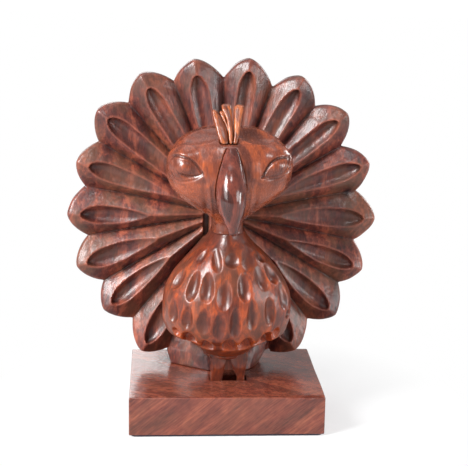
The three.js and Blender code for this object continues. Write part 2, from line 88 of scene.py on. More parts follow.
class Carving:
    """A block of wood as a signed distance grid, which tools cut away from."""

    def __init__(self, lo, hi, h):
        self.lo = np.array(lo, float); self.h = h
        n = [int(math.ceil((hi[i] - lo[i]) / h)) + 1 for i in range(3)]
        self.ax = [(lo[i] + h * np.arange(n[i])).astype(np.float32) for i in range(3)]
        self.X = self.ax[0][:, None, None]; self.Y = self.ax[1][None, :, None]; self.Z = self.ax[2][None, None, :]

    def distance(self, q):
        """Turns an implicit shape (negative inside) into a distance near its surface."""
        q = q.astype(np.float32)
        g = np.gradient(q, self.h)
        n = np.sqrt(g[0] ** 2 + g[1] ** 2 + g[2] ** 2)
        return np.clip(q / np.maximum(n, 1e-3), -9, 9)

    def near(self, o, r):
        sl = []
        for i in range(3):
            a = max(0, int((o[i] - r - self.lo[i]) / self.h)); b = min(len(self.ax[i]), int((o[i] + r - self.lo[i]) / self.h) + 2)
            sl.append(slice(a, max(b, a + 1)))
        return tuple(sl)

    def scoop(self, o, n, up, a, b_up, b_dn, d, k=0.12, reach=4.0):
        """A spoon cut into the surface as it stands: half width a, half lengths b_up and
        b_dn, depth d, seen along n."""
        o = np.array(o, float); n = np.array(n, float) / np.linalg.norm(n)
        v = np.array(up, float); v -= n * (v @ n); v /= np.linalg.norm(v)
        u = np.cross(v, n)
        sl = self.near(o, max(a, b_up, b_dn) + 2.0 + reach * 0.5)
        x = self.X[sl[0]] - o[0]; y = self.Y[:, sl[1]] - o[1]; z = self.Z[:, :, sl[2]] - o[2]
        U = x * u[0] + y * u[1] + z * u[2]; V = x * v[0] + y * v[1] + z * v[2]; N = x * n[0] + y * n[1] + z * n[2]
        B = np.where(V > 0, b_up, b_dn)
        q = (U / a) ** 2 + (V / B) ** 2
        g = self.base[sl] + d * (1 - q)
        g = g / np.sqrt(1 + (2 * d * U / a**2) ** 2 + (2 * d * V / B**2) ** 2)
        g = np.where((np.abs(N) < reach) & (q < 2.5), g, -9)
        self.f[sl] = smax(self.f[sl], g, k)

    def pare(self, o, n, up, a, b_up, b_dn, d, k=0.25, nmax=3.5):
        """A cut with its own hollow sweep about a tangent plane, opening along n."""
        o = np.array(o, float); n = np.array(n, float) / np.linalg.norm(n)
        v = np.array(up, float); v -= n * (v @ n); v /= np.linalg.norm(v)
        u = np.cross(v, n)
        sl = self.near(o, max(a, b_up, b_dn) + 3.0)
        x = self.X[sl[0]] - o[0]; y = self.Y[:, sl[1]] - o[1]; z = self.Z[:, :, sl[2]] - o[2]
        U = x * u[0] + y * u[1] + z * u[2]; V = x * v[0] + y * v[1] + z * v[2]; N = x * n[0] + y * n[1] + z * n[2]
        B = np.where(V > 0, b_up, b_dn)
        g = N + d - d * ((U / a) ** 2 + (V / B) ** 2)
        g = g / np.sqrt(1 + (2 * d * U / a**2) ** 2 + (2 * d * V / B**2) ** 2)
        g = np.minimum(g, nmax - N)
        self.f[sl] = smax(self.f[sl], g, k)

    def mesh(self, name):
        band = 3 * self.h
        grid = vdb.FloatGrid(background=band)
        grid.copyFromArray(np.clip(self.f, -band, band).astype(np.float32))
        pts, quads = grid.convertToQuads(isovalue=0.0)
        return make_mesh(name, np.asarray(pts, float) * self.h + self.lo, np.asarray(quads, int))

    def sample(self, grid, pts):
        """Trilinear value of a grid at points."""
        q = (pts - self.lo) / self.h
        i = np.clip(np.floor(q).astype(int), 0, np.array(grid.shape) - 2); t = np.clip(q - i, 0, 1)
        out = 0
        for a in (0, 1):
            for b in (0, 1):
                for c in (0, 1):
                    w = (t[:, 0] if a else 1 - t[:, 0]) * (t[:, 1] if b else 1 - t[:, 1]) * (t[:, 2] if c else 1 - t[:, 2])
                    out = out + w * grid[i[:, 0] + a, i[:, 1] + b, i[:, 2] + c]
        return out

    def paint(self, ob, cut=None, keep=None):
        """Stores how convex each point is, which the wood shader turns into painted highlights on edges and painted
        shade in creases, and a given amount of painted shade for hollows, grooves and undersides.
        """
        f = np.clip(self.f, -2.5, 2.5).astype(np.float32)
        for _ in range(2 if self.h > 0.3 else 3):
            for ax in range(3):
                g = f.copy()
                lo = [slice(None)] * 3; mi = [slice(None)] * 3; hi = [slice(None)] * 3
                lo[ax] = slice(0, -2); mi[ax] = slice(1, -1); hi[ax] = slice(2, None)
                g[tuple(mi)] = 0.25 * f[tuple(lo)] + 0.5 * f[tuple(mi)] + 0.25 * f[tuple(hi)]
                f = g
        lap = np.zeros_like(f)
        lap[1:-1, 1:-1, 1:-1] = (f[2:, 1:-1, 1:-1] + f[:-2, 1:-1, 1:-1] + f[1:-1, 2:, 1:-1] + f[1:-1, :-2, 1:-1]
                                 + f[1:-1, 1:-1, 2:] + f[1:-1, 1:-1, :-2] - 6 * f[1:-1, 1:-1, 1:-1]) / self.h**2
        me = ob.data; n = len(me.vertices)
        co = np.zeros(n * 3); me.vertices.foreach_get("co", co); p = co.reshape(-1, 3) / MM
        inside = np.all((p > self.lo) & (p < self.lo + self.h * (np.array(f.shape) - 1)), axis=1)
        store(me, "curv", np.clip(self.sample(lap, p), -1.5, 1.5) * inside * (1 if keep is None else keep(p)))
        if cut is not None:
            store(me, "cut", np.clip(cut(p), 0, 1) * inside)


def store(me, name, values):
    at = me.attributes.get(name) or me.attributes.new(name, "FLOAT", "POINT")
    at.data.foreach_set("value", np.ascontiguousarray(values, dtype=np.float32))


def make_mesh(name, verts, faces):
    """A closed mesh object, in metres, with its faces turned out."""
    v = np.asarray(verts, float) * MM
    fc = np.asarray(faces, int)
    tri = np.concatenate([fc[:, [0, 1, 2]], fc[:, [0, 2, 3]]]) if fc.shape[1] == 4 else fc
    vol = np.einsum("ij,ij->i", v[tri[:, 0]], np.cross(v[tri[:, 1]], v[tri[:, 2]])).sum()
    if vol < 0:
        fc = fc[:, ::-1]
    me = bpy.data.meshes.new(name)
    me.from_pydata(v.tolist(), [], fc.tolist())
    me.update()
    ob = bpy.data.objects.new(name, me)
    bpy.context.scene.collection.objects.link(ob)
    me.polygons.foreach_set("use_smooth", [True] * len(me.polygons))
    return ob


def bake_modifiers(ob):
    bpy.context.view_layer.update()
    dg = bpy.context.evaluated_depsgraph_get()
    me = bpy.data.meshes.new_from_object(ob.evaluated_get(dg))
    ob.modifiers.clear()
    old = ob.data
    ob.data = me
    bpy.data.meshes.remove(old)


def boolean(ob, other, op):
    m = ob.modifiers.new("join", "BOOLEAN"); m.operation = op; m.object = other; m.solver = "MANIFOLD"
    bake_modifiers(ob)
    bpy.data.objects.remove(other)


def prism(name, rings):
    """Closed solid through equal rings, bottom first, each counter-clockwise seen from above."""
    n = len(rings[0]); v = [p for r in rings for p in r]; bm = bmesh.new()
    vs = [bm.verts.new([c * MM for c in p]) for p in v]
    for k in range(len(rings) - 1):
        for i in range(n):
            a, b = k * n + i, k * n + (i + 1) % n
            bm.faces.new([vs[a], vs[b], vs[b + n], vs[a + n]])
    bm.faces.new([vs[i] for i in range(n)][::-1])
    bm.faces.new([vs[(len(rings) - 1) * n + i] for i in range(n)])
    bmesh.ops.recalc_face_normals(bm, faces=bm.faces)
    me = bpy.data.meshes.new(name); bm.to_mesh(me); bm.free()
    ob = bpy.data.objects.new(name, me); bpy.context.scene.collection.objects.link(ob)
    return ob


def rod(name, p0, p1, r, n=32, r1=None):
    """Closed round rod between two points, for drilling."""
    p0 = np.array(p0, float); p1 = np.array(p1, float); d = p1 - p0; d /= np.linalg.norm(d)
    a = np.cross(d, [1, 0, 0] if abs(d[0]) < 0.9 else [0, 1, 0]); a /= np.linalg.norm(a); b = np.cross(d, a)
    rings = []
    for p, rr in ((p0, r), (p1, r if r1 is None else r1)):
        rings.append([tuple(p + rr * (a * math.cos(t) + b * math.sin(t))) for t in np.arange(n) * 2 * math.pi / n])
    return prism(name, rings)


def loft_q(c, rows, x0, back_power=4):
    """Implicit of a carved form: round in front of its widest line, squarer behind."""
    z = [r[0] for r in rows]
    W, F, M, B = (pchip(z, [r[i] for r in rows])(c.Z) for i in (1, 2, 3, 4))
    dx = (c.X - x0) / W
    dy = c.Y - M
    front = np.sqrt(dx**2 + (dy / (M - F)) ** 2)
    rear = (np.abs(dx) ** back_power + np.abs(dy / (B - M)) ** back_power) ** (1 / back_power)
    return np.where(dy < 0, front, rear) - 1


class Front:
    """The front surface y(x, z) of a loft, with its outward normal."""

    def __init__(self, rows, x0):
        z = [r[0] for r in rows]; self.x0 = x0
        self.W, self.F, self.M = (pchip(z, [r[i] for r in rows]) for i in (1, 2, 3))

    def y(self, x, z):
        w, f, m = self.W(z), self.F(z), self.M(z)
        s = np.clip((x - self.x0) / w, -0.995, 0.995)
        return m - (m - f) * np.sqrt(1 - s * s)

    def point(self, x, z):
        e = 0.25; y = float(self.y(x, z))
        n = np.array([(self.y(x + e, z) - self.y(x - e, z)) / (2 * e), -1.0, (self.y(x, z + e) - self.y(x, z - e)) / (2 * e)], float)
        return np.array([x, y, z], float), n / np.linalg.norm(n)


def polyline_distance(x, z, pts):
    """Distance in the X-Z plane to a polyline, and the share of the way along it."""
    best = None; along = None
    pts = np.array(pts, float); seg = np.linalg.norm(np.diff(pts, axis=0), axis=1); total = seg.sum(); run = 0.0
    for i in range(len(pts) - 1):
        a, b = pts[i], pts[i + 1]; d = b - a; L = d @ d
        t = np.clip(((x - a[0]) * d[0] + (z - a[1]) * d[1]) / L, 0, 1)
        r = np.sqrt((x - a[0] - t * d[0]) ** 2 + (z - a[1] - t * d[1]) ** 2)
        s = (run + t * seg[i]) / total
        if best is None:
            best, along = r, s
        else:
            along = np.where(r < best, s, along); best = np.minimum(best, r)
        run += seg[i]
    return best, along


def curve_points(pts, n=24):
    """Smooth curve through points, as n points."""
    pts = np.array(pts, float); t = np.r_[0, np.cumsum(np.linalg.norm(np.diff(pts, axis=0), axis=1))]
    u = np.linspace(0, t[-1], n)
    return np.stack([pchip(t, pts[:, i])(u) for i in range(pts.shape[1])], 1)


def inside_polygon(x, z, poly):
    """True inside a closed polygon in the X-Z plane."""
    poly = np.array(poly, float); out = np.zeros(np.broadcast(x, z).shape, bool)
    for i in range(len(poly)):
        (x1, z1), (x2, z2) = poly[i - 1], poly[i]
        hit = ((z1 > z) != (z2 > z)) & (x < (x2 - x1) * (z - z1) / ((z2 - z1) if z2 != z1 else 1e-9) + x1)
        out ^= hit
    return out


# ------------------------------------------------------------------ dimensions, as in the CAD
SEAT_Y = 5.9; BODY_BACK = 5.6; HEAD_BACK = -6.0; BODY_TOP = 86.2; HEAD_BOTTOM = 86.25
BREAST = [
    [28.0, 9.9, -14.0, -4, BODY_BACK], [31.5, 11.4, -17.4, -5, BODY_BACK], [33.8, 13.4, -20.0, -6, BODY_BACK],
    [35.6, 16.2, -21.6, -6, BODY_BACK], [38.0, 20.4, -22.8, -6, BODY_BACK], [39.0, 23.6, -24.9, -7, BODY_BACK], [40.5, 25.9, -26.6, -7, BODY_BACK], [43.0, 27.2, -27.6, -7, BODY_BACK],
    [48.0, 28.4, -29.2, -7, BODY_BACK], [53.0, 28.5, -29.8, -7, BODY_BACK], [58.5, 27.8, -29.4, -7, BODY_BACK],
    [64.0, 25.4, -28.0, -7, BODY_BACK], [70.0, 21.2, -25.8, -7, BODY_BACK], [75.0, 16.6, -23.4, -7, BODY_BACK],
    [79.5, 11.7, -20.8, -7, BODY_BACK], [82.5, 8.9, -18.9, -6, BODY_BACK], [84.6, 7.6, -17.9, -6, BODY_BACK], [BODY_TOP, 6.95, -17.4, -6, BODY_BACK],
]
SKIRT = [[28.0, 8.5, -13.8, -4], [32.4, 10.8, -18.0, -5], [35.0, 13.5, -19.9, -6], [37.6, 18.8, -21.2, -6], [40.5, 22.6, -22.8, -6], [44.0, 26.0, -24.4, -6]]
HEAD = [
    [HEAD_BOTTOM, 6.93, -17.38, -11, -5], [87.8, 6.5, -17.15, -11, -5], [89.6, 6.35, -17.1, -11, -5], [92.0, 7.2, -18.3, -11, -5.4],
    [94.6, 10.6, -20.6, -11, HEAD_BACK], [98.0, 15.6, -23.0, -11.5, HEAD_BACK], [102.4, 21.4, -25.6, -12, HEAD_BACK],
    [107.0, 25.3, -27.6, -12, HEAD_BACK], [112.8, 27.0, -28.6, -12, HEAD_BACK], [118.2, 26.2, -28.2, -12, HEAD_BACK],
    [122.0, 24.6, -26.8, -12, HEAD_BACK], [125.5, 22.5, -24.8, -12, HEAD_BACK], [128.4, 19.4, -22.2, -12, HEAD_BACK],
    [130.6, 15.0, -20.3, -11.5, HEAD_BACK], [131.9, 11.0, -18.6, -11.5, -6.6], [132.7, 7.4, -16.6, -11.5, -7.8],
]
BEAK_BACK = -25.2
BEAK = [
    [89.6, 0.6, -34.9, -34.3, -33.9], [90.4, 1.25, -35.6, -33.8, -32.8], [92.2, 2.35, -36.5, -33.0, -31.0],
    [95.8, 3.95, -37.7, -32.0, -28.4], [100.4, 5.6, -38.5, -31.0, -26.2], [104.1, 6.25, -38.9, -30.5, BEAK_BACK],
    [107.8, 6.4, -38.3, -30.0, BEAK_BACK], [112.0, 6.0, -36.6, -29.5, BEAK_BACK], [116.2, 5.1, -33.8, -28.5, BEAK_BACK],
    [119.2, 4.2, -30.9, -27.4, BEAK_BACK], [122.4, 3.1, -28.3, -26.8, BEAK_BACK], [124.6, 2.0, -26.7, -26.0, BEAK_BACK],
    [126.0, 1.0, -25.7, -25.45, BEAK_BACK],
]
# Crest feathers: [height, centre x, half width, centre y, half thickness].
CREST = {
    "crest_feather_left": [[[126.6, -2.9, 1.5, -23.6, 1.4], [128.7, -3.3, 1.85, -22.8, 1.5], [130.9, -3.8, 2.1, -21.5, 1.7], [133.3, -4.5, 2.1, -20.1, 1.7], [136.4, -5.5, 1.8, -18.0, 1.6],
                            [138.9, -6.6, 1.15, -16.5, 1.3], [139.9, -6.85, 0.9, -16.2, 1.0]]],
    "crest_feather_centre": [[[126.6, -0.25, 0.6, -23.8, 1.4], [128.7, -0.25, 0.72, -23.0, 1.5], [130.9, -0.27, 0.95, -21.7, 1.7], [133.3, -0.4, 1.18, -20.2, 1.8], [135.8, -0.62, 1.3, -18.6, 1.9],
                              [138.3, -1.22, 1.68, -17.0, 1.8], [139.9, -1.7, 2.05, -16.1, 1.8], [141.5, -1.9, 2.08, -15.2, 1.4], [142.2, -1.9, 1.75, -14.9, 1.1]],
                             [[129.0, -0.5, 0.4, -22.6, 1.2], [131.0, -0.85, 0.5, -21.4, 1.4], [133.3, -1.55, 0.5, -20.0, 1.5], [135.8, -2.62, 0.66, -18.2, 1.5], [137.4, -3.3, 0.85, -17.2, 1.4],
                              [138.6, -3.8, 0.88, -16.6, 1.2], [139.4, -4.0, 0.75, -16.2, 0.9]]],
    "crest_feather_right": [[[126.6, 1.6, 0.95, -23.6, 1.4], [128.7, 1.9, 1.05, -22.8, 1.6], [130.9, 2.3, 1.28, -21.6, 1.7], [133.9, 2.62, 1.46, -19.7, 1.7], [137.1, 2.9, 1.68, -17.7, 1.7],
                             [139.5, 3.2, 1.98, -16.3, 1.6], [141.1, 3.7, 2.08, -15.5, 1.4], [141.9, 3.95, 1.65, -15.0, 1.0]]],
}
FAN_X, FAN_Z, FAN_BACK = -1.0, 90.0, 20.0
TIPS = [
    (20, 69.6), (40, 71.4), (60.5, 70.6), (81, 70.0), (101.5, 69.7), (121, 72.2), (140.5, 72.6), (160.5, 69.4),
    (180.5, 69.8), (200.5, 70.3), (220, 70.3), (240.5, 74.5), (298, 73.4), (318, 71.2), (338, 69.3), (358.5, 69.2),
]
NOTCH = [
    (9.5, 61.4), (30, 61.3), (50, 63.4), (69.5, 60.6), (90.5, 60.5), (111, 63.1), (131, 65.0), (150.5, 64.0),
    (169.5, 63.0), (190.5, 62.0), (211, 63.2), (231, 64.8), (289.3, 71.0), (308.5, 65.0), (328.5, 63.7), (348, 62.0),
]
STEM_EDGE = [(249.2, 69.6), (252.5, 69), (257, 66), (263, 62), (270, 60), (277, 62), (283, 67), (286.5, 69.5)]
PITCH_MEAN = 10.0
TENON = (-14, 12, 9.5, 18.5, 9.5)
FEET = (-6.9, 9.8, -11.4, -4.2, 12)
SCREW_X, SCREW_Y = (-8, 6), 14


# ------------------------------------------------------------------ tail fan
def polygon_distance(x, z, poly):
    d, _ = polyline_distance(x, z, list(poly) + [poly[0]])
    return np.where(inside_polygon(x, z, poly), -d, d)


def build_fan():
    h = 0.42
    c = Carving((-74.5, 4.4, 15.0), (72.5, 21.2, 162.0), h)
    rng = np.random.default_rng(7)
    # outline by angle: radius, place across the feather, and which feather
    A = np.arange(0, 360, 0.04)
    R = np.zeros(len(A)); S = np.ones(len(A)); F = np.zeros(len(A), int); pitch = np.ones(len(A))
    for i, (t, rt) in enumerate(TIPS):
        n0, r0 = NOTCH[i]; n1, r1 = STEM_EDGE[0] if i == 11 else NOTCH[(i + 1) % 16]
        t0 = n0 - 360 if n0 > t else n0; t1 = n1 + 360 if n1 < t else n1
        for turn in (-360, 0, 360):
            a = A + turn; m = (a >= t0) & (a <= t1)
            s = np.where(a < t, (a - t) / (t - t0), (a - t) / (t1 - t))
            rn = np.where(s < 0, r0, r1)
            R[m] = (rn + (rt - rn) * (1 - np.abs(np.clip(s, -1, 1)) ** 1.6))[m]; S[m] = s[m]; F[m] = i
            pitch[m] = np.where(s < 0, t - t0, t1 - t)[m]
    m = (A > STEM_EDGE[0][0]) & (A < NOTCH[12][0])
    R[m] = pchip([a for a, _ in STEM_EDGE], [r for _, r in STEM_EDGE])(A[m]); S[m] = 1
    slope = np.gradient(np.r_[R[-5:], R, R[:5]], math.radians(0.04))[5:-5]
    dx = (c.ax[0] - FAN_X).astype(float)[:, None]; dz = (c.ax[2] - FAN_Z).astype(float)[None, :]
    r = np.hypot(dx, dz) + 1e-6; ang = np.degrees(np.arctan2(dz, dx)) % 360
    k = np.clip((ang / 0.04).astype(int), 0, len(A) - 1); k1 = (k + 1) % len(A); w = ang / 0.04 - k
    Rk = R[k] * (1 - w) + R[k1] * w; s = np.where(S[k] * S[k1] < -0.5, S[k], S[k] * (1 - w) + S[k1] * w); fi = F[k]
    in_stem = m[k]
    P = r / Rk; Pc = np.clip(P, 0, 1.02)
    tip = np.array([t for t, _ in TIPS])[fi]
    turn = (ang - tip + 180) % 360 - 180
    # each feather a little different, as hand work is
    u = lambda a: a * rng.uniform(-1, 1, 16)
    g_from = 0.45 + u(0.035); g_to = 0.925 + u(0.012); g_half = 4.2 + u(0.25); g_depth = 2.5 + u(0.45); g_off = u(0.35)
    g_end = 8.5 + u(1.0); thin = 0.85 * np.ones(16)
    for i in (1, 2, 3, 4, 5, 6):
        g_to[i] -= 0.012; g_from[i] = 0.26; g_half[i] -= 0.2; g_end[i] = 7.5; thin[i] = 0.5
    for i in (0, 7, 15):
        g_from[i] = 0.36; g_end[i] = 8.0
    lift = u(0.35)
    crest = pchip([0, 0.14, 0.3, 0.5, 0.7, 0.84, 0.92, 0.97, 1.02], [7.6, 7.3, 6.7, 6.2, 5.95, 5.95, 6.35, 7.2, 8.8])
    depth = pchip([0, 0.14, 0.3, 0.5, 0.75, 0.9, 1.02], [0.1, 1.7, 3.9, 5.9, 7.2, 7.0, 4.2])
    fall = lambda v: 0.90 * np.abs(v) ** 1.10 + 0.10 * np.abs(v) ** 5
    bend = 0.05 * np.sin(fi * 2.1) * np.sin(np.pi * Pc)
    y = crest(Pc) + lift[fi] * np.clip(Pc * 2 - 0.6, 0, 1) * (1 - np.abs(s)) + depth(Pc) * fall(np.clip(s + bend * (1 - np.abs(s)), -1, 1))
    y = y + 0.18 * wobble(dx, 0, dz, 3.8, 11) * np.clip(Pc * 3 - 0.6, 0, 1) * (1 - 0.5 * np.abs(s)) + 0.03 * wobble(dx, 0, dz, 1.2, 12)
    # the leaf-shaped spoon cut along each feather: blunt outside, running out inwards
    lat = r * np.sin(np.radians(turn)) - g_off[fi] - 0.5 * np.sin(fi * 1.7) * np.sin(np.pi * Pc) + 0.3 * wobble(dx, 0, dz, 6.5, 17)
    t = (Pc - g_from[fi]) / (g_to - g_from)[fi]; tc = np.clip(t, 1e-4, 1 - 1e-4)
    el = g_end[fi] / (Rk * (g_to - g_from)[fi]); pk = 1 - el
    prof = np.where(tc < pk, np.sin(np.pi / 2 * np.clip(tc / pk, 0, 1)) ** thin[fi], np.maximum(1 - (np.clip(tc - pk, 0, 1) / el) ** 2.3, 0) ** 0.5)
    half = np.maximum(g_half[fi] * prof, 0.05)
    se = np.clip(half / np.maximum(r * np.sin(np.radians(PITCH_MEAN)), 1), 0, 0.9)
    level = crest(Pc) + lift[fi] * np.clip(Pc * 2 - 0.6, 0, 1) * (1 - se) + depth(Pc) * fall(se)
    dd = np.abs(lat) / half
    cutd = g_depth[fi] * np.where(tc < pk, prof ** 1.1, prof ** 0.6) * (0.75 + 0.35 * tc)
    ycut = level + cutd * (1 - dd**2)
    ycut = np.where((t > 0) & (t < 1) & ~in_stem & (dd < 2), ycut, -9)
    before = y
    y = smax(y, ycut, 0.08)
    gouged = np.clip((y - before) / 0.5, 0, 1) * (~in_stem)
    # fine rasp marks left along the feather
    y = y + 0.025 * wobble(r * 0.25, turn * 3, 0, 1.0, 13) * (1 - gouged)
    gy, gz = np.gradient(y, h)
    f = ((y / 1.0)[:, None, :] - c.Y) / np.sqrt(1 + np.minimum(gy**2 + gz**2, 6))[:, None, :]
    yb = pchip([0, 0.8, 0.93, 1.02], [FAN_BACK, FAN_BACK, 19.2, 17.0])(Pc) - 1.5 * np.abs(s) ** 3 * np.clip((Pc - 0.3) / 0.5, 0, 1) * (~in_stem)
    yb = yb + 0.12 * wobble(dx, 0, dz, 3.5, 21) - 0.15
    gy, gz = np.gradient(yb, h)
    back = (c.Y - yb[:, None, :]) / np.sqrt(1 + np.minimum(gy**2 + gz**2, 6))[:, None, :]
    rim = (r - Rk) / np.sqrt(1 + np.minimum((slope[k] / Rk) ** 2, 2))
    rim = rim + 0.10 * wobble(dx, 0, dz, 1.6, 22)
    c.f = smax(smax(f, rim[:, None, :] + 0 * f, 1.15), back, 1.6).astype(np.float32)
    # seat behind the bird, with a pocket beside the neck
    half = [(9, 30.5), (14, 35), (17.5, 38.5), (21.5, 43), (24.3, 49), (24.4, 56), (22.2, 63), (18, 70), (13.6, 75), (9.2, 80.3), (7.2, 84), (7.2, 94.6)]
    outline = [(a, b) for a, b in half] + [(-a, b) for a, b in half[::-1]]
    xs = c.ax[0].astype(float)[:, None]; zs = c.ax[2].astype(float)[None, :]
    pd = polygon_distance(xs, zs, outline)
    seat = np.maximum(pd[:, None, :] + 0 * c.Y, np.abs(c.Y - 10.4) - (10.4 - SEAT_Y))
    c.f = np.minimum(c.f, seat)
    pocket = np.maximum(np.abs(xs + 8.7) - 1.25, np.abs(zs - 85.0) - 5.2)[:, None, :]
    c.f = np.maximum(c.f, -np.maximum(pocket + 0 * c.Y, c.Y - 11.5))
    for zz in (48, 68):
        c.f = np.maximum(c.f, -np.maximum(np.sqrt(c.X**2 + (c.Z - zz) ** 2) - 3.4, c.Y - 14.3))
    ob = c.mesh("tail_fan_carved")
    # faceted stem with its tenon
    foot = [(-24, 12), (-13.5, 5.2), (-7, 1.2), (9, 1.2), (12, 3.0), (15.4, 8.2), (17.2, 14), (17.2, 21.5), (-23.5, 21.5)]
    mid = [(-26, 13), (-15.5, 6.6), (-8, 3.6), (9.5, 3.6), (14, 5.0), (18.6, 9.5), (20.8, 15), (20.8, 21), (-25.5, 21)]
    high = [(-24, 13.5), (-15, 7.4), (-9, 6.2), (9.5, 6.2), (14.5, 6.8), (20.5, 10), (24, 15), (24, 20), (-24, 20)]
    top = [(-15, 14), (-12, 10), (-8, 8), (8, 8), (12, 9), (14, 11), (15, 15), (15, 20), (-15, 20)]
    st = prism("stem", [[(a, b, zz) for a, b in ring] for ring, zz in ((foot, 18), (mid, 24.5), (high, 29), (top, 44))])
    bv = st.modifiers.new("edge", "BEVEL"); bv.width = 0.0006; bv.segments = 3; bv.limit_method = "ANGLE"; bv.angle_limit = math.radians(8)
    bake_modifiers(st)
    boolean(ob, st, "UNION")
    x0, x1, ya, yb, z0 = TENON
    boolean(ob, prism("tenon", [[(x0, ya, zz), (x1, ya, zz), (x1, yb, zz), (x0, yb, zz)] for zz in (z0, 19)]), "UNION")
    for xx in SCREW_X:
        boolean(ob, rod("hole", (xx, SCREW_Y, 8), (xx, SCREW_Y, 31.8), 2.35), "DIFFERENCE")
    ob.data.polygons.foreach_set("use_smooth", [True] * len(ob.data.polygons))
    ob.data.set_sharp_from_angle(angle=math.radians(38))
    g3 = np.repeat(gouged[:, None, :], len(c.ax[1]), 1)
    # painted shade: the gouges on the front are darkened, and the fan is painted darker towards its top
    c.paint(ob, lambda p: c.sample(g3, p) * 0.7 * (p[:, 1] < 15) + 0.9 * np.clip((p[:, 2] - 108) / 30, 0, 1))
    return ob


# ------------------------------------------------------------------ breast and legs
# Spoon cuts in the breast: (x, z, half width, half length, lean in degrees).
SCOOPS = [
    (-11.2, 76.5, 2.0, 4.0, 8), (-5.2, 75.9, 2.2, 5.6, -14), (1.4, 76.2, 2.9, 3.4, 6),
    (8.7, 76.3, 3.3, 5.9, 18), (14.4, 75.9, 2.7, 2.6, -10), (-21.2, 66.3, 3.0, 4.8, 25), (-15.3, 65.0, 2.6, 6.7, 5),
    (-9.2, 64.9, 2.8, 6.4, 0), (-2.0, 62.6, 3.0, 6.6, 3), (6.5, 65.2, 2.6, 5.9, -3), (14.2, 68.4, 3.1, 5.5, -10),
    (18.9, 69.0, 3.2, 4.8, -20), (24.3, 59.1, 3.2, 6.1, -12), (-23.5, 52.9, 2.8, 5.3, 5), (-17.6, 51.2, 2.8, 5.3, 12),
    (-10.6, 50.6, 3.0, 6.0, 10), (-4.0, 48.6, 2.7, 6.5, 4), (2.9, 50.1, 2.5, 6.7, 0), (10.2, 53.4, 2.5, 6.3, 0),
    (18.1, 54.2, 2.7, 6.1, -4), (27.0, 50.3, 2.4, 2.2, 10),
]
# Round gouge ends that scallop the lower edge of the belly: (x, z, half width, half height).
LIPS = [
    (-15.2, 39.6, 3.6, 3.3), (-8.2, 36.8, 3.0, 3.1), (0.6, 37.8, 3.1, 3.3),
    (7.4, 37.7, 3.1, 3.8), (14.7, 38.5, 3.6, 4.4),
]
NICKS = [(-22.2, 43.0, 2.3, 2.3), (21.2, 42.9, 2.4, 3.2)]


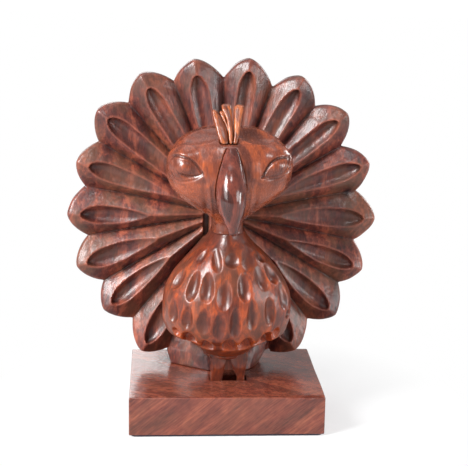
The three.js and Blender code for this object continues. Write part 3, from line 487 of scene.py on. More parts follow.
def build_breast():
    h = 0.36
    c = Carving((-32, -33.5, 10.5), (32, 7.5, 88.5), h)
    c.f = c.distance(loft_q(c, BREAST, 0.4))
    c.f = smax(c.f, (28.2 - c.Z) + 0 * c.f, 1.2)
    c.f = c.f + 0.25 * wobble(c.X, c.Y, c.Z, 5.0, 3) * (c.Y < 3) + 0.08 * wobble(c.X, c.Y, c.Z, 1.8, 4) * (c.Y < 3)
    c.base = c.f.copy()
    front = Front(BREAST, 0.4)
    for i, (x, z, a, b, lean) in enumerate(SCOOPS):
        o, n = front.point(x, z)
        t = math.radians(lean)
        a *= 1.10; b *= 1.06
        d = (1.85 + 0.15 * math.sin(i * 2.3)) if z < 74 else 1.35
        d *= min(1.0, a / 2.6) ** 0.7
        v = np.array((math.sin(t), 0, math.cos(t)))
        sh = 0.22 * b
        c.scoop(o - v * sh, n, v, a, b + sh, b - sh, d, k=0.08)
    under = c.f.copy()
    for x, z, a, b in NICKS:
        o, n = front.point(x, z)
        c.scoop(o, n, (0, -0.5, 1), a, b, b, 2.0, k=0.08, reach=5)
    skirt = Front(SKIRT, 0.4)
    for x, z, a, b in LIPS:
        o, n = skirt.point(x, z)
        n = np.array((n[0], n[1] - 0.6, 0)); n = n / np.linalg.norm(n) * 0.974; n[2] = 0.225
        v = np.array((0, 0, 1.0)) - n * n[2]; v /= np.linalg.norm(v); u = np.cross(v, n)
        x, y, z = c.X - o[0], c.Y - o[1], c.Z - o[2]
        U = x * u[0] + y * u[1] + z * u[2]; V = x * v[0] + y * v[1] + z * v[2]; N = x * n[0] + y * n[1] + z * n[2]
        q = np.sqrt((U / a) ** 2 + (V / b) ** 2)
        g = np.minimum((1 - q) * min(a, b), N + 0.65 + 0.75 * np.sqrt(np.maximum(1 - q * q, 0)) + 0.12 * V)
        c.f = smax(c.f, g, 0.12)
    lips = np.clip((c.f - under) / 0.4, 0, 1)
    # a line where the belly stops above the legs
    ring = np.abs(c.Z - 30.6)
    c.f = c.f + 0.6 * np.maximum(0, 1 - ring / 0.8) * (c.Y < 1)
    # legs: tapered, flat in front, with a narrow gap between them
    zt = [12.4, 18.2, 21.5, 25.2, 29.5]
    for left, right in (([-6.6, -6.6, -6.3, -6.2, -6.6], [-1.5, -1.3, -0.6, 0.2, 0.9]), ([5.6, 5.4, 4.0, 2.6, 1.5], [8.8, 8.8, 9.0, 9.4, 10.0])):
        xa, xb = pchip(zt, left)(c.Z), pchip(zt, right)(c.Z)
        ya = pchip([12.4, 18.2, 29.5], [-10.6, -10.6, -12.8])(c.Z); yb = pchip([12.4, 18.2, 29.5], [-5.0, -5.0, -3.2])(c.Z)
        xc, xh = (xa + xb) / 2, (xb - xa) / 2; yc, yh = (ya + yb) / 2, (yb - ya) / 2
        leg = smax(np.abs(c.X - xc) - xh, np.abs(c.Y - yc) - yh, 0.8)
        leg = smax(leg, np.maximum(c.Z - 31, 12.4 - c.Z) + 0 * leg, 0.4)
        leg = leg + 0.13 * wobble(c.X, c.Y, c.Z, 1.8, 9)
        c.f = smin(c.f, leg, 0.3)
    for x in (-3.3, 6.2):
        c.pare((x, -11.5, 24.4), (0, -1, 0.2), (0, 0, 1), 2.4, 4.6, 4.4, 0.45)
    c.f = np.maximum(c.f, c.Y - BODY_BACK)
    c.f = np.maximum(c.f, c.Z - BODY_TOP)
    for zz in (48, 68):
        hole = np.maximum(np.sqrt(c.X**2 + (c.Z - zz) ** 2) - 3.4, -(c.Y + 6.3))
        c.f = np.maximum(c.f, -hole)
    hole = np.maximum(np.sqrt(c.X**2 + (c.Y + 11) ** 2) - 2.85, 75.7 - c.Z)
    c.f = np.maximum(c.f, -hole)
    ob = c.mesh("breast_carved")
    lips = lips.astype(np.float32)
    me = ob.data; co = np.zeros(len(me.vertices) * 3); me.vertices.foreach_get("co", co); p = co.reshape(-1, 3) / MM
    # painted shade: darker in the scoops, under the belly's lower edge (not on the gouge-end discs), over the upper
    # chest towards the neck, and over the legs; painted highlight: the edge lightening is boosted along the belly's
    # lower rim and damped on the legs and at the top edge
    c.paint(ob, lambda p: np.where(p[:, 2] > 30.8, -c.sample(c.base, p) * 0.7 * (1 - 0.97 * c.sample(lips, p)) + 0.6 * np.clip((36.5 - p[:, 2]) / 3, 0, 1) * (1 - c.sample(lips, p)) + 0.45 * np.clip((p[:, 2] - 69) / 7, 0, 1) + 0.5 * np.clip((p[:, 2] - 80) / 4.5, 0, 1), 0.9),
            lambda p: np.clip((p[:, 2] - 28.0) / 3.0, 0.15, 1) * (1 + 1.6 * np.exp(-((p[:, 2] - 39.5) / 2.5) ** 2)) * np.clip((BODY_TOP - 0.8 - p[:, 2]) / 1.5, 0, 1))
    # painted light: the gouge-end discs are marked to be lightened as if fully lit
    store(me, "painted_light", np.clip(c.sample(lips, p), 0, 1))
    return ob


# ------------------------------------------------------------------ head and neck
EYE_L_UP = [(-25.1, 120.0), (-23.9, 120.9), (-21.8, 121.3), (-20.1, 121.0), (-18.1, 120.5), (-16.4, 119.7), (-15.2, 118.7), (-14.0, 117.4), (-12.9, 115.8), (-11.9, 114.4)]
EYE_L_LO = [(-25.1, 120.0), (-25.1, 117.4), (-24.9, 114.6), (-24.2, 112.2), (-22.8, 110.8), (-20.9, 110.3), (-18.4, 110.6), (-16.0, 111.3), (-13.9, 112.3), (-11.9, 113.8)]
EYE_L_IN = [(-22.6, 115.4), (-21.6, 114.1), (-19.7, 113.2), (-17.6, 112.8), (-15.2, 112.9), (-13.1, 113.6), (-11.9, 114.2)]
EYE_R_UP = [(13.1, 113.0), (14.1, 114.9), (15.5, 117.5), (17.4, 119.6), (20.0, 120.7), (22.2, 120.9), (24.6, 120.7)]
EYE_R_LO = [(13.1, 113.0), (14.8, 112.8), (16.6, 113.0), (20.0, 113.7), (22.3, 115.0), (23.4, 117.1), (24.1, 119.0), (24.6, 120.5)]
EYE_R_LID = [(13.6, 111.9), (17.5, 112.0), (20.0, 112.5), (23.0, 113.9), (25.0, 116.1)]
FOLD_L = [(-9.0, 113.0), (-9.1, 109.4), (-8.5, 104.9), (-7.9, 100.1), (-7.1, 94.8)]
FOLD_R = [(8.7, 113.0), (8.7, 109.5), (8.8, 105.0), (8.5, 100.1), (7.8, 95.9)]


def build_head():
    h = 0.34
    c = Carving((-30, -33, 85), (30, 7, 136), h)
    c.f = c.distance(loft_q(c, HEAD, 0.0))
    X, Y, Z = c.X, c.Y, c.Z
    c.f = smax(c.f, (Z - 132.9) + 0 * c.f, 1.6)
    face = Y < -9
    # brow domes over the eyes
    for sx in (-1, 1):
        e = np.sqrt(((X - sx * 17.6) / 9.2) ** 2 + ((Y + 16.4) / 9.8) ** 2 + ((Z - 117.2) / 9.2) ** 2)
        c.f = smin(c.f, (e - 1) * 8.6, 1.6)
    # low hollow between each dome and the beak
    for sx in (-1, 1):
        c.pare((sx * 9.6, -28.0, 106.5), (sx * 0.35, -1, -0.1), (sx * 0.22, 0, 1), 3.6, 8, 9, 0.9, k=0.8)
    c.f = c.f + 0.18 * wobble(X, Y, Z, 4.0, 31) * face + 0.03 * wobble(X, Y, Z, 1.6, 32) * face
    # flat chamfer along the lower edge of each cheek
    for sx in (-1, 1):
        nx, ny, nz = np.array((sx * 0.56, -0.40, -0.72)) / np.linalg.norm((0.56, 0.40, 0.72))
        plane = (X - sx * 19.0) * nx + (Y + 17.0) * ny + (Z - 103.0) * nz - np.clip(95.5 - Z, 0, 9) * 1.2
        c.f = smax(c.f, (plane - 0.6) + 0 * c.f, 0.3)
    # forehead: a concave facet each side of the crest
    c.base = c.f.copy()
    front = Front(HEAD, 0.0)
    for x, z, a, bu, bd, d, lean in ((-11.4, 129.4, 8.8, 4.6, 4.8, 1.5, -16), (10.4, 129.8, 8.6, 4.6, 5.0, 2.5, 14)):
        o, n = front.point(x, z)
        t = math.radians(lean)
        c.scoop(o, n, (math.sin(t), 0, math.cos(t)), a, bu, bd, d, k=0.16, reach=6)
    # eyes: an almond let in, with the eyeball left standing
    d, along = polyline_distance(X, Z, curve_points(EYE_L_UP))
    groove = 0.85 * np.maximum(0, 1 - d / 0.85) * np.clip(along * 6 + 0.2, 0, 1)
    d2, along2 = polyline_distance(X, Z, curve_points(EYE_L_IN))
    groove = np.maximum(groove, 0.6 * np.maximum(0, 1 - d2 / 0.8) * np.clip(along2 * 4, 0, 1))
    d3, along3 = polyline_distance(X, Z, curve_points(EYE_L_LO))
    groove = np.maximum(groove, 0.4 * np.maximum(0, 1 - d3 / 0.75) * np.clip(along3 * 3 - 0.3, 0, 1))
    poly = np.concatenate([curve_points(EYE_L_UP), curve_points(EYE_L_LO)[::-1]])
    almond = inside_polygon(X, Z, poly)
    edge = np.minimum(d, d3)
    groove = groove + almond * np.minimum(edge * 0.3, 0.4)
    ball = 1 - ((X + 19.0) / 4.3) ** 2 - ((Z - 116.3) / 2.7) ** 2
    groove = groove - 0.55 * np.maximum(ball, 0) ** 0.9
    c.f = c.f + groove * face
    c.lines = np.clip(groove, 0, 1) + 0 * c.f
    d, along = polyline_distance(X, Z, curve_points(EYE_R_UP))
    groove = 1.1 * np.maximum(0, 1 - d / 0.95) * np.clip((1 - along) * 5 + 0.3, 0, 1)
    d3, along3 = polyline_distance(X, Z, curve_points(EYE_R_LO))
    groove = np.maximum(groove, 0.6 * np.maximum(0, 1 - d3 / 0.8))
    d2, along2 = polyline_distance(X, Z, curve_points(EYE_R_LID))
    groove = np.maximum(groove, 0.5 * np.maximum(0, 1 - d2 / 0.9) * np.clip(along2 * 4, 0, 1))
    poly = np.concatenate([curve_points(EYE_R_UP), curve_points(EYE_R_LO)[::-1]])
    almond = inside_polygon(X, Z, poly)
    edge = np.minimum(d, d3)
    groove = groove + almond * np.minimum(edge * 0.35, 0.45)
    cx, cz, ca, sa = 19.6, 117.1, math.cos(math.radians(32)), math.sin(math.radians(32))
    U = (X - cx) * ca + (Z - cz) * sa; V = -(X - cx) * sa + (Z - cz) * ca
    ball = 1 - (U / 3.9) ** 2 - (V / 2.5) ** 2
    groove = groove - 0.55 * np.maximum(ball, 0) ** 0.9
    c.f = c.f + groove * face
    c.lines = np.maximum(c.lines, np.clip(groove, 0, 1)).astype(np.float32)
    # folds that run down beside the beak
    for pts in (FOLD_L, FOLD_R):
        d, along = polyline_distance(X, Z, curve_points(pts))
        c.f = c.f - 0.38 * np.maximum(0, 1 - d / 0.9) * np.clip(along * 3, 0, 1) * face
        sx = -1 if pts is FOLD_L else 1
        d, along = polyline_distance(X, Z, curve_points([(x + sx * 2.0, z) for x, z in pts]))
        c.f = c.f + 0.32 * np.maximum(0, 1 - d / 1.5) * np.clip(along * 3, 0, 1) * face
    # web from the neck to the fan; its top is the floor of the slot
    web = np.maximum(np.abs(X) - 6.3, np.maximum(np.abs(Y + 1.7) - 7.3, np.abs(Z - 90.75) - 4.25))
    c.f = smin(c.f, web, 0.8)
    # neck hollow
    c.f = np.maximum(c.f, HEAD_BOTTOM - Z)
    c.f = np.maximum(c.f, Y - BODY_BACK)
    # let-ins for the beak and the crest, and holes for its peg and the neck dowel
    z = [r[0] for r in BEAK]
    w = pchip(z, [r[1] for r in BEAK])(Z)
    recess = np.maximum(np.maximum(np.abs(X - LEAN(Z)) - w - 0.06, Y + 24.9), np.maximum(Z - 126.25, 89 - Z))
    c.f = np.maximum(c.f, -recess)
    c.f = np.maximum(c.f, -np.maximum(np.sqrt(X**2 + (Z - 110) ** 2) - 3.15, Y + 14.7))
    c.f = np.maximum(c.f, -np.maximum(np.sqrt(X**2 + (Y + 11) ** 2) - 2.85, Z - 97.3))
    for strands in CREST.values():
        for rows in strands:
            zz = [r[0] for r in rows]
            xc, wc, yc, th = (pchip(zz, [r[i] for r in rows])(Z) for i in (1, 2, 3, 4))
            q = ((np.abs((X - xc) / (wc + 0.18))) ** 3 + (np.abs((Y - yc) / (th + 0.18))) ** 3) ** (1 / 3) - 1
            c.f = np.maximum(c.f, -np.maximum(q * np.minimum(wc, th), 126.3 - Z))
    ob = c.mesh("head_carved")
    # painted shade: darker in the eye lines, on the neck towards its bottom under the beak, and in the forehead facets,
    # the right facet much more than the left; edge lightening is damped at the neck's bottom edge
    c.paint(ob, lambda p: np.maximum(np.maximum(c.sample(c.lines, p) * (p[:, 1] < -9), np.clip((94.5 - p[:, 2]) / 5, 0, 1) * 0.9), -c.sample(c.base, p) * np.where(p[:, 0] > 0, 0.65, 0.25) * (p[:, 2] > 123)),
            lambda p: np.clip((p[:, 2] - 87.4) / 1.5, 0, 1))
    co = np.zeros(len(ob.data.vertices) * 3); ob.data.vertices.foreach_get("co", co); p = co.reshape(-1, 3) / MM
    blob = lambda x, z, a, b: np.clip(1.3 - np.sqrt(((p[:, 0] - x) / a) ** 2 + ((p[:, 2] - z) / b) ** 2), 0, 1)
    # painted sheen: the cheeks below the eyes are marked to be lightened, the left more than the right
    store(ob.data, "painted_light", np.clip(1.0 * blob(-18.5, 104.5, 8.0, 7.0) + 0.7 * blob(16.5, 104.5, 7.0, 6.0), 0, 1) * (p[:, 1] < -9))
    return ob


# ------------------------------------------------------------------ beak
LEAN = pchip([89.6, 92.3, 94.4, 98.6, 101.7, 107, 126], [0.95, 0.75, 0.5, 0.25, 0.1, 0.1, 0.0])


def build_beak():
    h = 0.22
    c = Carving((-8, -40.5, 88.4), (8.6, -13.5, 127.4), h)
    z = [r[0] for r in BEAK]
    W, F, M, B = (pchip(z, [r[i] for r in BEAK])(c.Z) for i in (1, 2, 3, 4))
    W = W + 0.55 * np.exp(-((c.Z - 90.2) / 1.6) ** 2)
    ex = pchip([89.6, 94, 100, 106, 112], [2.1, 2.0, 1.95, 1.95, 2.0])(c.Z)
    dx = np.abs(c.X - LEAN(c.Z)) / W; dy = c.Y - M
    front = (dx**ex + np.abs(dy / (M - F)) ** ex) ** (1 / ex)
    rear = (dx**4 + np.abs(dy / (B - M)) ** 4) ** 0.25
    c.f = c.distance(np.where(dy < 0, front, rear) - 1)
    c.f = smax(c.f, (c.Z - 125.6) + 0 * c.f, 0.8)
    c.f = smax(c.f, (89.5 - c.Z) + 0 * c.f, 1.4)
    c.f = c.f + 0.07 * wobble(c.X, c.Y, c.Z, 2.8, 41)
    peg = np.maximum(np.sqrt(c.X**2 + (c.Z - 110) ** 2) - 2.8, np.maximum(c.Y + 15, -30 - c.Y))
    c.f = np.minimum(c.f, peg)
    c.f = np.maximum(c.f, np.where(np.sqrt(c.X**2 + (c.Z - 110) ** 2) < 2.9, -9, c.Y - BEAK_BACK))
    ob = c.mesh("beak_carved")
    c.paint(ob)
    return ob


# ------------------------------------------------------------------ crest feathers
def build_crest(name, strands, seed):
    h = 0.16
    xs = [r[1] - r[2] for rows in strands for r in rows] + [r[1] + r[2] for rows in strands for r in rows]
    c = Carving((min(xs) - 0.8, -27.4, 126.0), (max(xs) + 0.8, -12.8, 143.0), h)
    c.f = None
    for k, rows in enumerate(strands):
        zz = [r[0] for r in rows]
        xc, wc, yc, th = (pchip(zz, [r[i] for r in rows])(c.Z) for i in (1, 2, 3, 4))
        u, v = (c.X - xc) / wc, (c.Y - yc) / th
        f = c.distance((np.abs(u) ** 2.6 + np.abs(v) ** 2.6) ** (1 / 2.6) - 1)
        f = smax(f, np.maximum(c.Z - rows[-1][0], rows[0][0] - c.Z) + 0 * f, 0.9)
        # hollowed a little down the front
        f = f + (0.13 if k == 0 else 0.08) * np.exp(-((u - 0.08) / 0.5) ** 2) * (v < 0) * np.clip((c.Z - 127) / 3, 0, 1)
        c.f = f if c.f is None else np.minimum(c.f, f)
    c.f = c.f + 0.07 * wobble(c.X, c.Y, c.Z, 1.6, seed)
    ob = c.mesh(name)
    c.paint(ob)
    return ob


# ------------------------------------------------------------------ base
def build_base():
    w, d, z0, z1 = 42.5, 32.5, 0.8, 18.0
    nx, ny, nz = ((85, 65, 17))
    bm = bmesh.new()
    ids = {}

    def vert(i, j, k):
        if (i, j, k) not in ids:
            ids[(i, j, k)] = bm.verts.new(((-w + 2 * w * i / nx) * MM, (-d + 2 * d * j / ny) * MM, (z0 + (z1 - z0) * k / nz) * MM))
        return ids[(i, j, k)]
    for i in range(nx):
        for j in range(ny):
            for k in (0, nz):
                bm.faces.new([vert(i, j, k), vert(i + 1, j, k), vert(i + 1, j + 1, k), vert(i, j + 1, k)])
    for i in range(nx):
        for k in range(nz):
            for j in (0, ny):
                bm.faces.new([vert(i, j, k), vert(i + 1, j, k), vert(i + 1, j, k + 1), vert(i, j, k + 1)])
    for j in range(ny):
        for k in range(nz):
            for i in (0, nx):
                bm.faces.new([vert(i, j, k), vert(i, j + 1, k), vert(i, j + 1, k + 1), vert(i, j, k + 1)])
    bmesh.ops.recalc_face_normals(bm, faces=bm.faces)
    me = bpy.data.meshes.new("base_block_wood"); bm.to_mesh(me); bm.free()
    ob = bpy.data.objects.new("base_block_wood", me); bpy.context.scene.collection.objects.link(ob)
    bv = ob.modifiers.new("edge", "BEVEL"); bv.width = 0.0005; bv.segments = 3; bv.limit_method = "ANGLE"; bv.angle_limit = math.radians(60)
    bake_modifiers(ob)
    # the sanded faces aren't quite flat, and the arrises are a little worn
    me = ob.data
    co = np.zeros(len(me.vertices) * 3, np.float32); me.vertices.foreach_get("co", co); co = co.reshape(-1, 3) / MM
    x, y, z = co.T.astype(float)
    top = np.clip((z - 12) / 6, 0, 1)
    dz = -0.10 * (1 + wobble(x, y, 0 * z, 9, 51)) * top
    edge = np.exp(-((y + d) / 1.2) ** 2) * np.exp(-((x - 36) / 9) ** 2)
    dz = dz - 0.45 * edge * top * (1 + 0.6 * np.sin(x * 1.1))
    dy = 0.10 * (1 + wobble(x, 0 * y, z, 8, 52)) * np.clip((-d + 3 - y) / 3, 0, 1) - 0.10 * (1 + wobble(x, 0 * y, z, 8, 53)) * np.clip((y - d + 3) / 3, 0, 1)
    dx = -0.10 * (1 + wobble(0 * x, y, z, 8, 54)) * np.clip((x - w + 3) / 3, 0, 1) + 0.10 * (1 + wobble(0 * x, y, z, 8, 55)) * np.clip((-w + 3 - x) / 3, 0, 1)
    co[:, 2] += dz; co[:, 1] += dy; co[:, 0] += dx
    me.vertices.foreach_set("co", (co * MM).astype(np.float32).ravel()); me.update()
    ax = np.sort(np.stack([w - np.abs(x), d - np.abs(y), np.minimum(z - z0, z1 - z)]), axis=0)
    # an uneven mask along the arrises, which the wood shader lightens as a painted highlight
    store(me, "curv", np.clip(1.0 - ax[1] / 0.9, 0, 1) * (0.7 + 0.5 * wobble(x, y, z, 2.5, 56)))
    x0, x1, ya, yb, zz = TENON
    boolean(ob, prism("m", [[(x0 - .3, ya - .3, q), (x1 + .3, ya - .3, q), (x1 + .3, yb + .3, q), (x0 - .3, yb + .3, q)] for q in (zz - .3, 19)]), "DIFFERENCE")
    x0, x1, ya, yb, zz = FEET
    boolean(ob, prism("m", [[(x0, ya, q), (x0 + 3, ya - .25, q), (x0 + 8, ya + .1, q), (x1 - 3, ya - .2, q), (x1, ya + .15, q), (x1, yb, q), (x0, yb, q)] for q in (zz, 19)]), "DIFFERENCE")
    for xx in SCREW_X:
        boolean(ob, rod("m", (xx, SCREW_Y, -1), (xx, SCREW_Y, 10.5), 2.35), "DIFFERENCE")
        boolean(ob, rod("m", (xx, SCREW_Y, -1), (xx, SCREW_Y, 1.6), 4.4), "DIFFERENCE")
        boolean(ob, rod("m", (xx, SCREW_Y, 1.55), (xx, SCREW_Y, 4.6), 4.4, r1=2.2), "DIFFERENCE")
    ob.data.polygons.foreach_set("use_smooth", [True] * len(ob.data.polygons))
    ob.data.set_sharp_from_angle(angle=math.radians(40))
    return ob


def build_felt():
    """Thin felt with a slightly ragged cut edge."""
    w, d, r = 41.9, 31.9, 2.5
    pts = []
    for cx, cy, a0 in ((w - r, -d + r, -90), (w - r, d - r, 0), (-w + r, d - r, 90), (-w + r, -d + r, 180)):
        for a in np.radians(np.linspace(a0, a0 + 90, 10)):
            pts.append((cx + r * math.cos(a), cy + r * math.sin(a)))
    p = np.array(pts + [pts[0]]); t = np.r_[0, np.cumsum(np.linalg.norm(np.diff(p, axis=0), axis=1))]
    n = 560
    u = np.linspace(0, t[-1], n, endpoint=False)
    x, y = np.interp(u, t, p[:, 0]), np.interp(u, t, p[:, 1])
    rng = np.random.default_rng(5)
    rings = []
    for z, inset in ((0.0, 0.22), (0.15, 0.05), (0.4, 0.0), (0.65, 0.03), (0.8, 0.15)):
        k = 1 - (inset + 0.10 * rng.uniform(0, 1, n)) / np.maximum(np.abs(x), np.abs(y))
        rings.append([(a, b, z) for a, b in zip(x * k, y * k)])
    ob = prism("base_felt_sheet", rings)
    ob.data.polygons.foreach_set("use_smooth", [True] * len(ob.data.polygons))
    ob.data.set_sharp_from_angle(angle=math.radians(50))
    return ob


# ------------------------------------------------------------------ materials
class Nodes:
    def __init__(self, name):
        self.mat = bpy.data.materials.new(name); self.mat.use_nodes = True
        self.t = self.mat.node_tree; self.t.nodes.clear()
        self.out = self.add("ShaderNodeOutputMaterial"); self.bsdf = self.add("ShaderNodeBsdfPrincipled")
        self.link(self.bsdf.outputs[0], self.out.inputs[0])

    def add(self, kind, **props):
        n = self.t.nodes.new(kind)
        for k, v in props.items():
            setattr(n, k, v)
        return n

    def link(self, a, b):
        self.t.links.new(a, b)

    def put(self, socket, value):
        if hasattr(value, "is_output") or isinstance(value, bpy.types.NodeSocket):
            self.link(value, socket)
        else:
            socket.default_value = value

    def math(self, op, a, b=0.0, clamp=False):
        n = self.add("ShaderNodeMath", operation=op, use_clamp=clamp)
        self.put(n.inputs[0], a); self.put(n.inputs[1], b)
        return n.outputs[0]

    def noise(self, vec, scale, detail=3.0, rough=0.55, dist=0.0):
        n = self.add("ShaderNodeTexNoise"); self.link(vec, n.inputs["Vector"])
        n.inputs["Scale"].default_value = scale; n.inputs["Detail"].default_value = detail
        n.inputs["Roughness"].default_value = rough; n.inputs["Distortion"].default_value = dist
        return n.outputs["Fac"]

    def stretch(self, vec, scale):
        n = self.add("ShaderNodeVectorMath", operation="MULTIPLY"); self.link(vec, n.inputs[0]); n.inputs[1].default_value = scale
        return n.outputs[0]

    def ramp(self, fac, stops, interp="LINEAR"):
        n = self.add("ShaderNodeValToRGB"); self.link(fac, n.inputs[0]); cr = n.color_ramp; cr.interpolation = interp
        while len(cr.elements) > 2:
            cr.elements.remove(cr.elements[-1])
        for k, (pos, col) in enumerate(stops):
            e = cr.elements[k] if k < 2 else cr.elements.new(pos)
            e.position = pos; e.color = (*col, 1) if len(col) == 3 else col
        return n.outputs["Color"]

    def mix(self, fac, a, b, blend="MIX"):
        n = self.add("ShaderNodeMix", data_type="RGBA", blend_type=blend)
        self.put(n.inputs[0], fac)
        for s, v in ((n.inputs[6], a), (n.inputs[7], b)):
            if isinstance(v, tuple):
                s.default_value = (*v, 1) if len(v) == 3 else v
            else:
                self.link(v, s)
        return n.outputs[2]


def srgb(r, g, b):
    f = lambda c: c / 12.92 if c <= 0.04045 else ((c + 0.055) / 1.055) ** 2.4
    return tuple(f(v / 255) for v in (r, g, b))


def wood(name, light, mid, dark, grain=(0, 0, 1), layer=(1, 0, 0), bands=0.16, streak=0.55, rough=0.26, coat=0.35,
         band_gain=1.0, fine_gain=0.8, pores=0.5, bump=0.3, seed=0.0, warp=2.2, blotch=0.5, across=1.6, cut=0.5, edge=0.5, crease=0.7, tool=0.5, olive=0.0):
    """Polished rosewood. grain: direction of the fibres; layer: normal of the growth layers; bands: layers per mm."""
    n = Nodes(name)
    tc = n.add("ShaderNodeTexCoord")
    g = Vector(grain).normalized(); l = Vector(layer); l = (l - g * l.dot(g)).normalized(); o = g.cross(l)
    comb = []
    src = n.add("ShaderNodeVectorMath", operation="MULTIPLY_ADD"); n.link(tc.outputs["Object"], src.inputs[0])
    src.inputs[1].default_value = (1000, 1000, 1000); src.inputs[2].default_value = (seed * 7.1, seed * 3.3, seed * 5.7)
    for row in (l, o, g):
        d = n.add("ShaderNodeVectorMath", operation="DOT_PRODUCT"); n.link(src.outputs[0], d.inputs[0]); d.inputs[1].default_value = row
        comb.append(d.outputs["Value"])
    xyz = n.add("ShaderNodeCombineXYZ")
    for k in range(3):
        n.link(comb[k], xyz.inputs[k])
    P = xyz.outputs[0]
    # slow warping of the layers, longer along the fibres
    w1 = n.noise(n.stretch(P, (0.05, 0.05, 0.018)), 1.0, 2.0, 0.5)
    w2 = n.noise(n.stretch(P, (0.22, 0.22, 0.05)), 1.0, 3.0, 0.55)
    shift = n.math("ADD", n.math("MULTIPLY", n.math("SUBTRACT", w1, 0.5), warp * 9), n.math("MULTIPLY", n.math("SUBTRACT", w2, 0.5), warp * 2.2))
    u = n.math("MULTIPLY", n.math("ADD", comb[0], shift), bands)
    wide = n.add("ShaderNodeTexNoise"); wide.noise_dimensions = "1D"; n.link(u, wide.inputs["W"])
    wide.inputs["Scale"].default_value = 1.0; wide.inputs["Detail"].default_value = 4.0; wide.inputs["Roughness"].default_value = 0.62
    f1 = wide.outputs["Fac"]
    fine = n.noise(n.stretch(P, (2.3, across, 0.10)), 1.0, 4.0, 0.6)
    fibre = n.noise(n.stretch(P, (7.0, 5.0, 0.35)), 1.0, 2.0, 0.5)
    patch = n.noise(n.stretch(P, (0.30, 0.30, 0.16)), 1.0, 4.0, 0.6, 0.6)
    f = n.math("ADD", n.math("MULTIPLY", n.math("SUBTRACT", f1, 0.5), 1.9 * band_gain), n.math("MULTIPLY", n.math("SUBTRACT", fine, 0.5), fine_gain))
    f = n.math("ADD", f, n.math("MULTIPLY", n.math("SUBTRACT", patch, 0.5), blotch * 1.6))
    f = n.math("ADD", f, 0.5, clamp=True)
    col = n.ramp(f, [(0.0, dark), (0.32, tuple(a * 0.5 + b * 0.5 for a, b in zip(dark, mid))), (0.52, mid), (0.88, light)])
    dk = n.ramp(fibre, [(0.30, (1, 1, 1)), (0.75, (0.60, 0.54, 0.52))])
    col = n.mix(streak, col, dk, "MULTIPLY")
    drift = n.ramp(n.noise(n.stretch(P, (0.09, 0.09, 0.05)), 1.0, 3.0, 0.55), [(0.44, (0, 0, 0)), (0.60, (1, 1, 1))])
    col = n.mix(n.math("MULTIPLY", drift, olive), col, srgb(120, 84, 60), "MIX")
    # open pores: short dark dashes along the fibres
    vor = n.add("ShaderNodeTexVoronoi", feature="F1"); n.link(n.stretch(P, (2.6, 2.6, 0.42)), vor.inputs["Vector"]); vor.inputs["Scale"].default_value = 1.0
    vor.inputs["Randomness"].default_value = 1.0
    pore = n.ramp(vor.outputs["Distance"], [(0.05, (1, 1, 1)), (0.17, (0, 0, 0))])
    keep = n.math("GREATER_THAN", n.noise(n.stretch(P, (0.9, 0.9, 0.3)), 1.0, 1.0), 0.50)
    porf = n.math("MULTIPLY", pore, n.math("MULTIPLY", keep, pores))
    col = n.mix(porf, col, tuple(c * 0.35 for c in dark), "MIX")
    # painted shade: hollows, grooves and undersides marked in the cut attribute, and concave creases, are darkened;
    # painted highlight: convex edges are lightened towards a pale, cool tint
    def attr(nm):
        at = n.add("ShaderNodeAttribute"); at.attribute_name = nm
        return at.outputs["Fac"]
    curv = attr("curv")
    col = n.mix(n.math("MULTIPLY", attr("cut"), cut, clamp=True), col, tuple(a * 0.55 + b * 0.25 for a, b in zip(dark, mid)), "MIX")
    up = n.math("MULTIPLY", n.math("SUBTRACT", curv, 0.25), edge, clamp=True)
    up = n.math("MULTIPLY", up, n.math("ADD", 0.45, fine))
    col = n.mix(n.math("MINIMUM", up, 0.6), col, tuple(min(1, c * k) for c, k in zip(light, (1.15, 1.25, 1.35))), "MIX")
    down = n.math("MULTIPLY", n.math("ADD", curv, 0.3), -crease, clamp=True)
    col = n.mix(n.math("MINIMUM", down, 0.8), col, tuple(c * 0.35 for c in dark), "MIX")
    # painted light: marked patches (the belly's gouge-end discs and the cheeks) are lightened as if lit and catching a
    # sheen
    col = n.mix(n.math("MULTIPLY", attr("painted_light"), 0.7), col, n.ramp(n.noise(n.stretch(P, (1.6, 1.6, 1.6)), 1.0, 4.0, 0.7), [(0.35, mid), (0.65, tuple(min(1, c * 1.2) for c in light))]), "MIX")
    n.link(col, n.bsdf.inputs["Base Color"])
    r = n.math("ADD", rough, n.math("MULTIPLY", n.math("SUBTRACT", fine, 0.5), 0.22))
    r = n.math("ADD", r, n.math("MULTIPLY", porf, 0.35), clamp=True)
    n.link(r, n.bsdf.inputs["Roughness"])
    n.bsdf.inputs["Specular IOR Level"].default_value = 0.5
    n.bsdf.inputs["Coat Weight"].default_value = coat
    n.bsdf.inputs["Coat Roughness"].default_value = 0.14
    facets = n.noise(n.stretch(P, (0.42, 0.42, 0.24)), 1.0, 2.0, 0.55)
    hgt = n.math("SUBTRACT", n.math("ADD", n.math("MULTIPLY", fibre, 0.35), n.math("MULTIPLY", fine, 0.4)), n.math("MULTIPLY", porf, 0.8))
    b0 = n.add("ShaderNodeBump"); n.link(facets, b0.inputs["Height"]); b0.inputs["Strength"].default_value = tool; b0.inputs["Distance"].default_value = 0.0007
    b = n.add("ShaderNodeBump"); n.link(hgt, b.inputs["Height"]); b.inputs["Strength"].default_value = bump; b.inputs["Distance"].default_value = 0.00025
    n.link(b0.outputs[0], b.inputs["Normal"])
    n.link(b.outputs[0], n.bsdf.inputs["Normal"])
    b2 = n.add("ShaderNodeBump"); n.link(fine, b2.inputs["Height"]); b2.inputs["Strength"].default_value = bump * 0.5; b2.inputs["Distance"].default_value = 0.0002
    n.link(b0.outputs[0], b2.inputs["Normal"])
    n.link(b2.outputs[0], n.bsdf.inputs["Coat Normal"])
    return n.mat


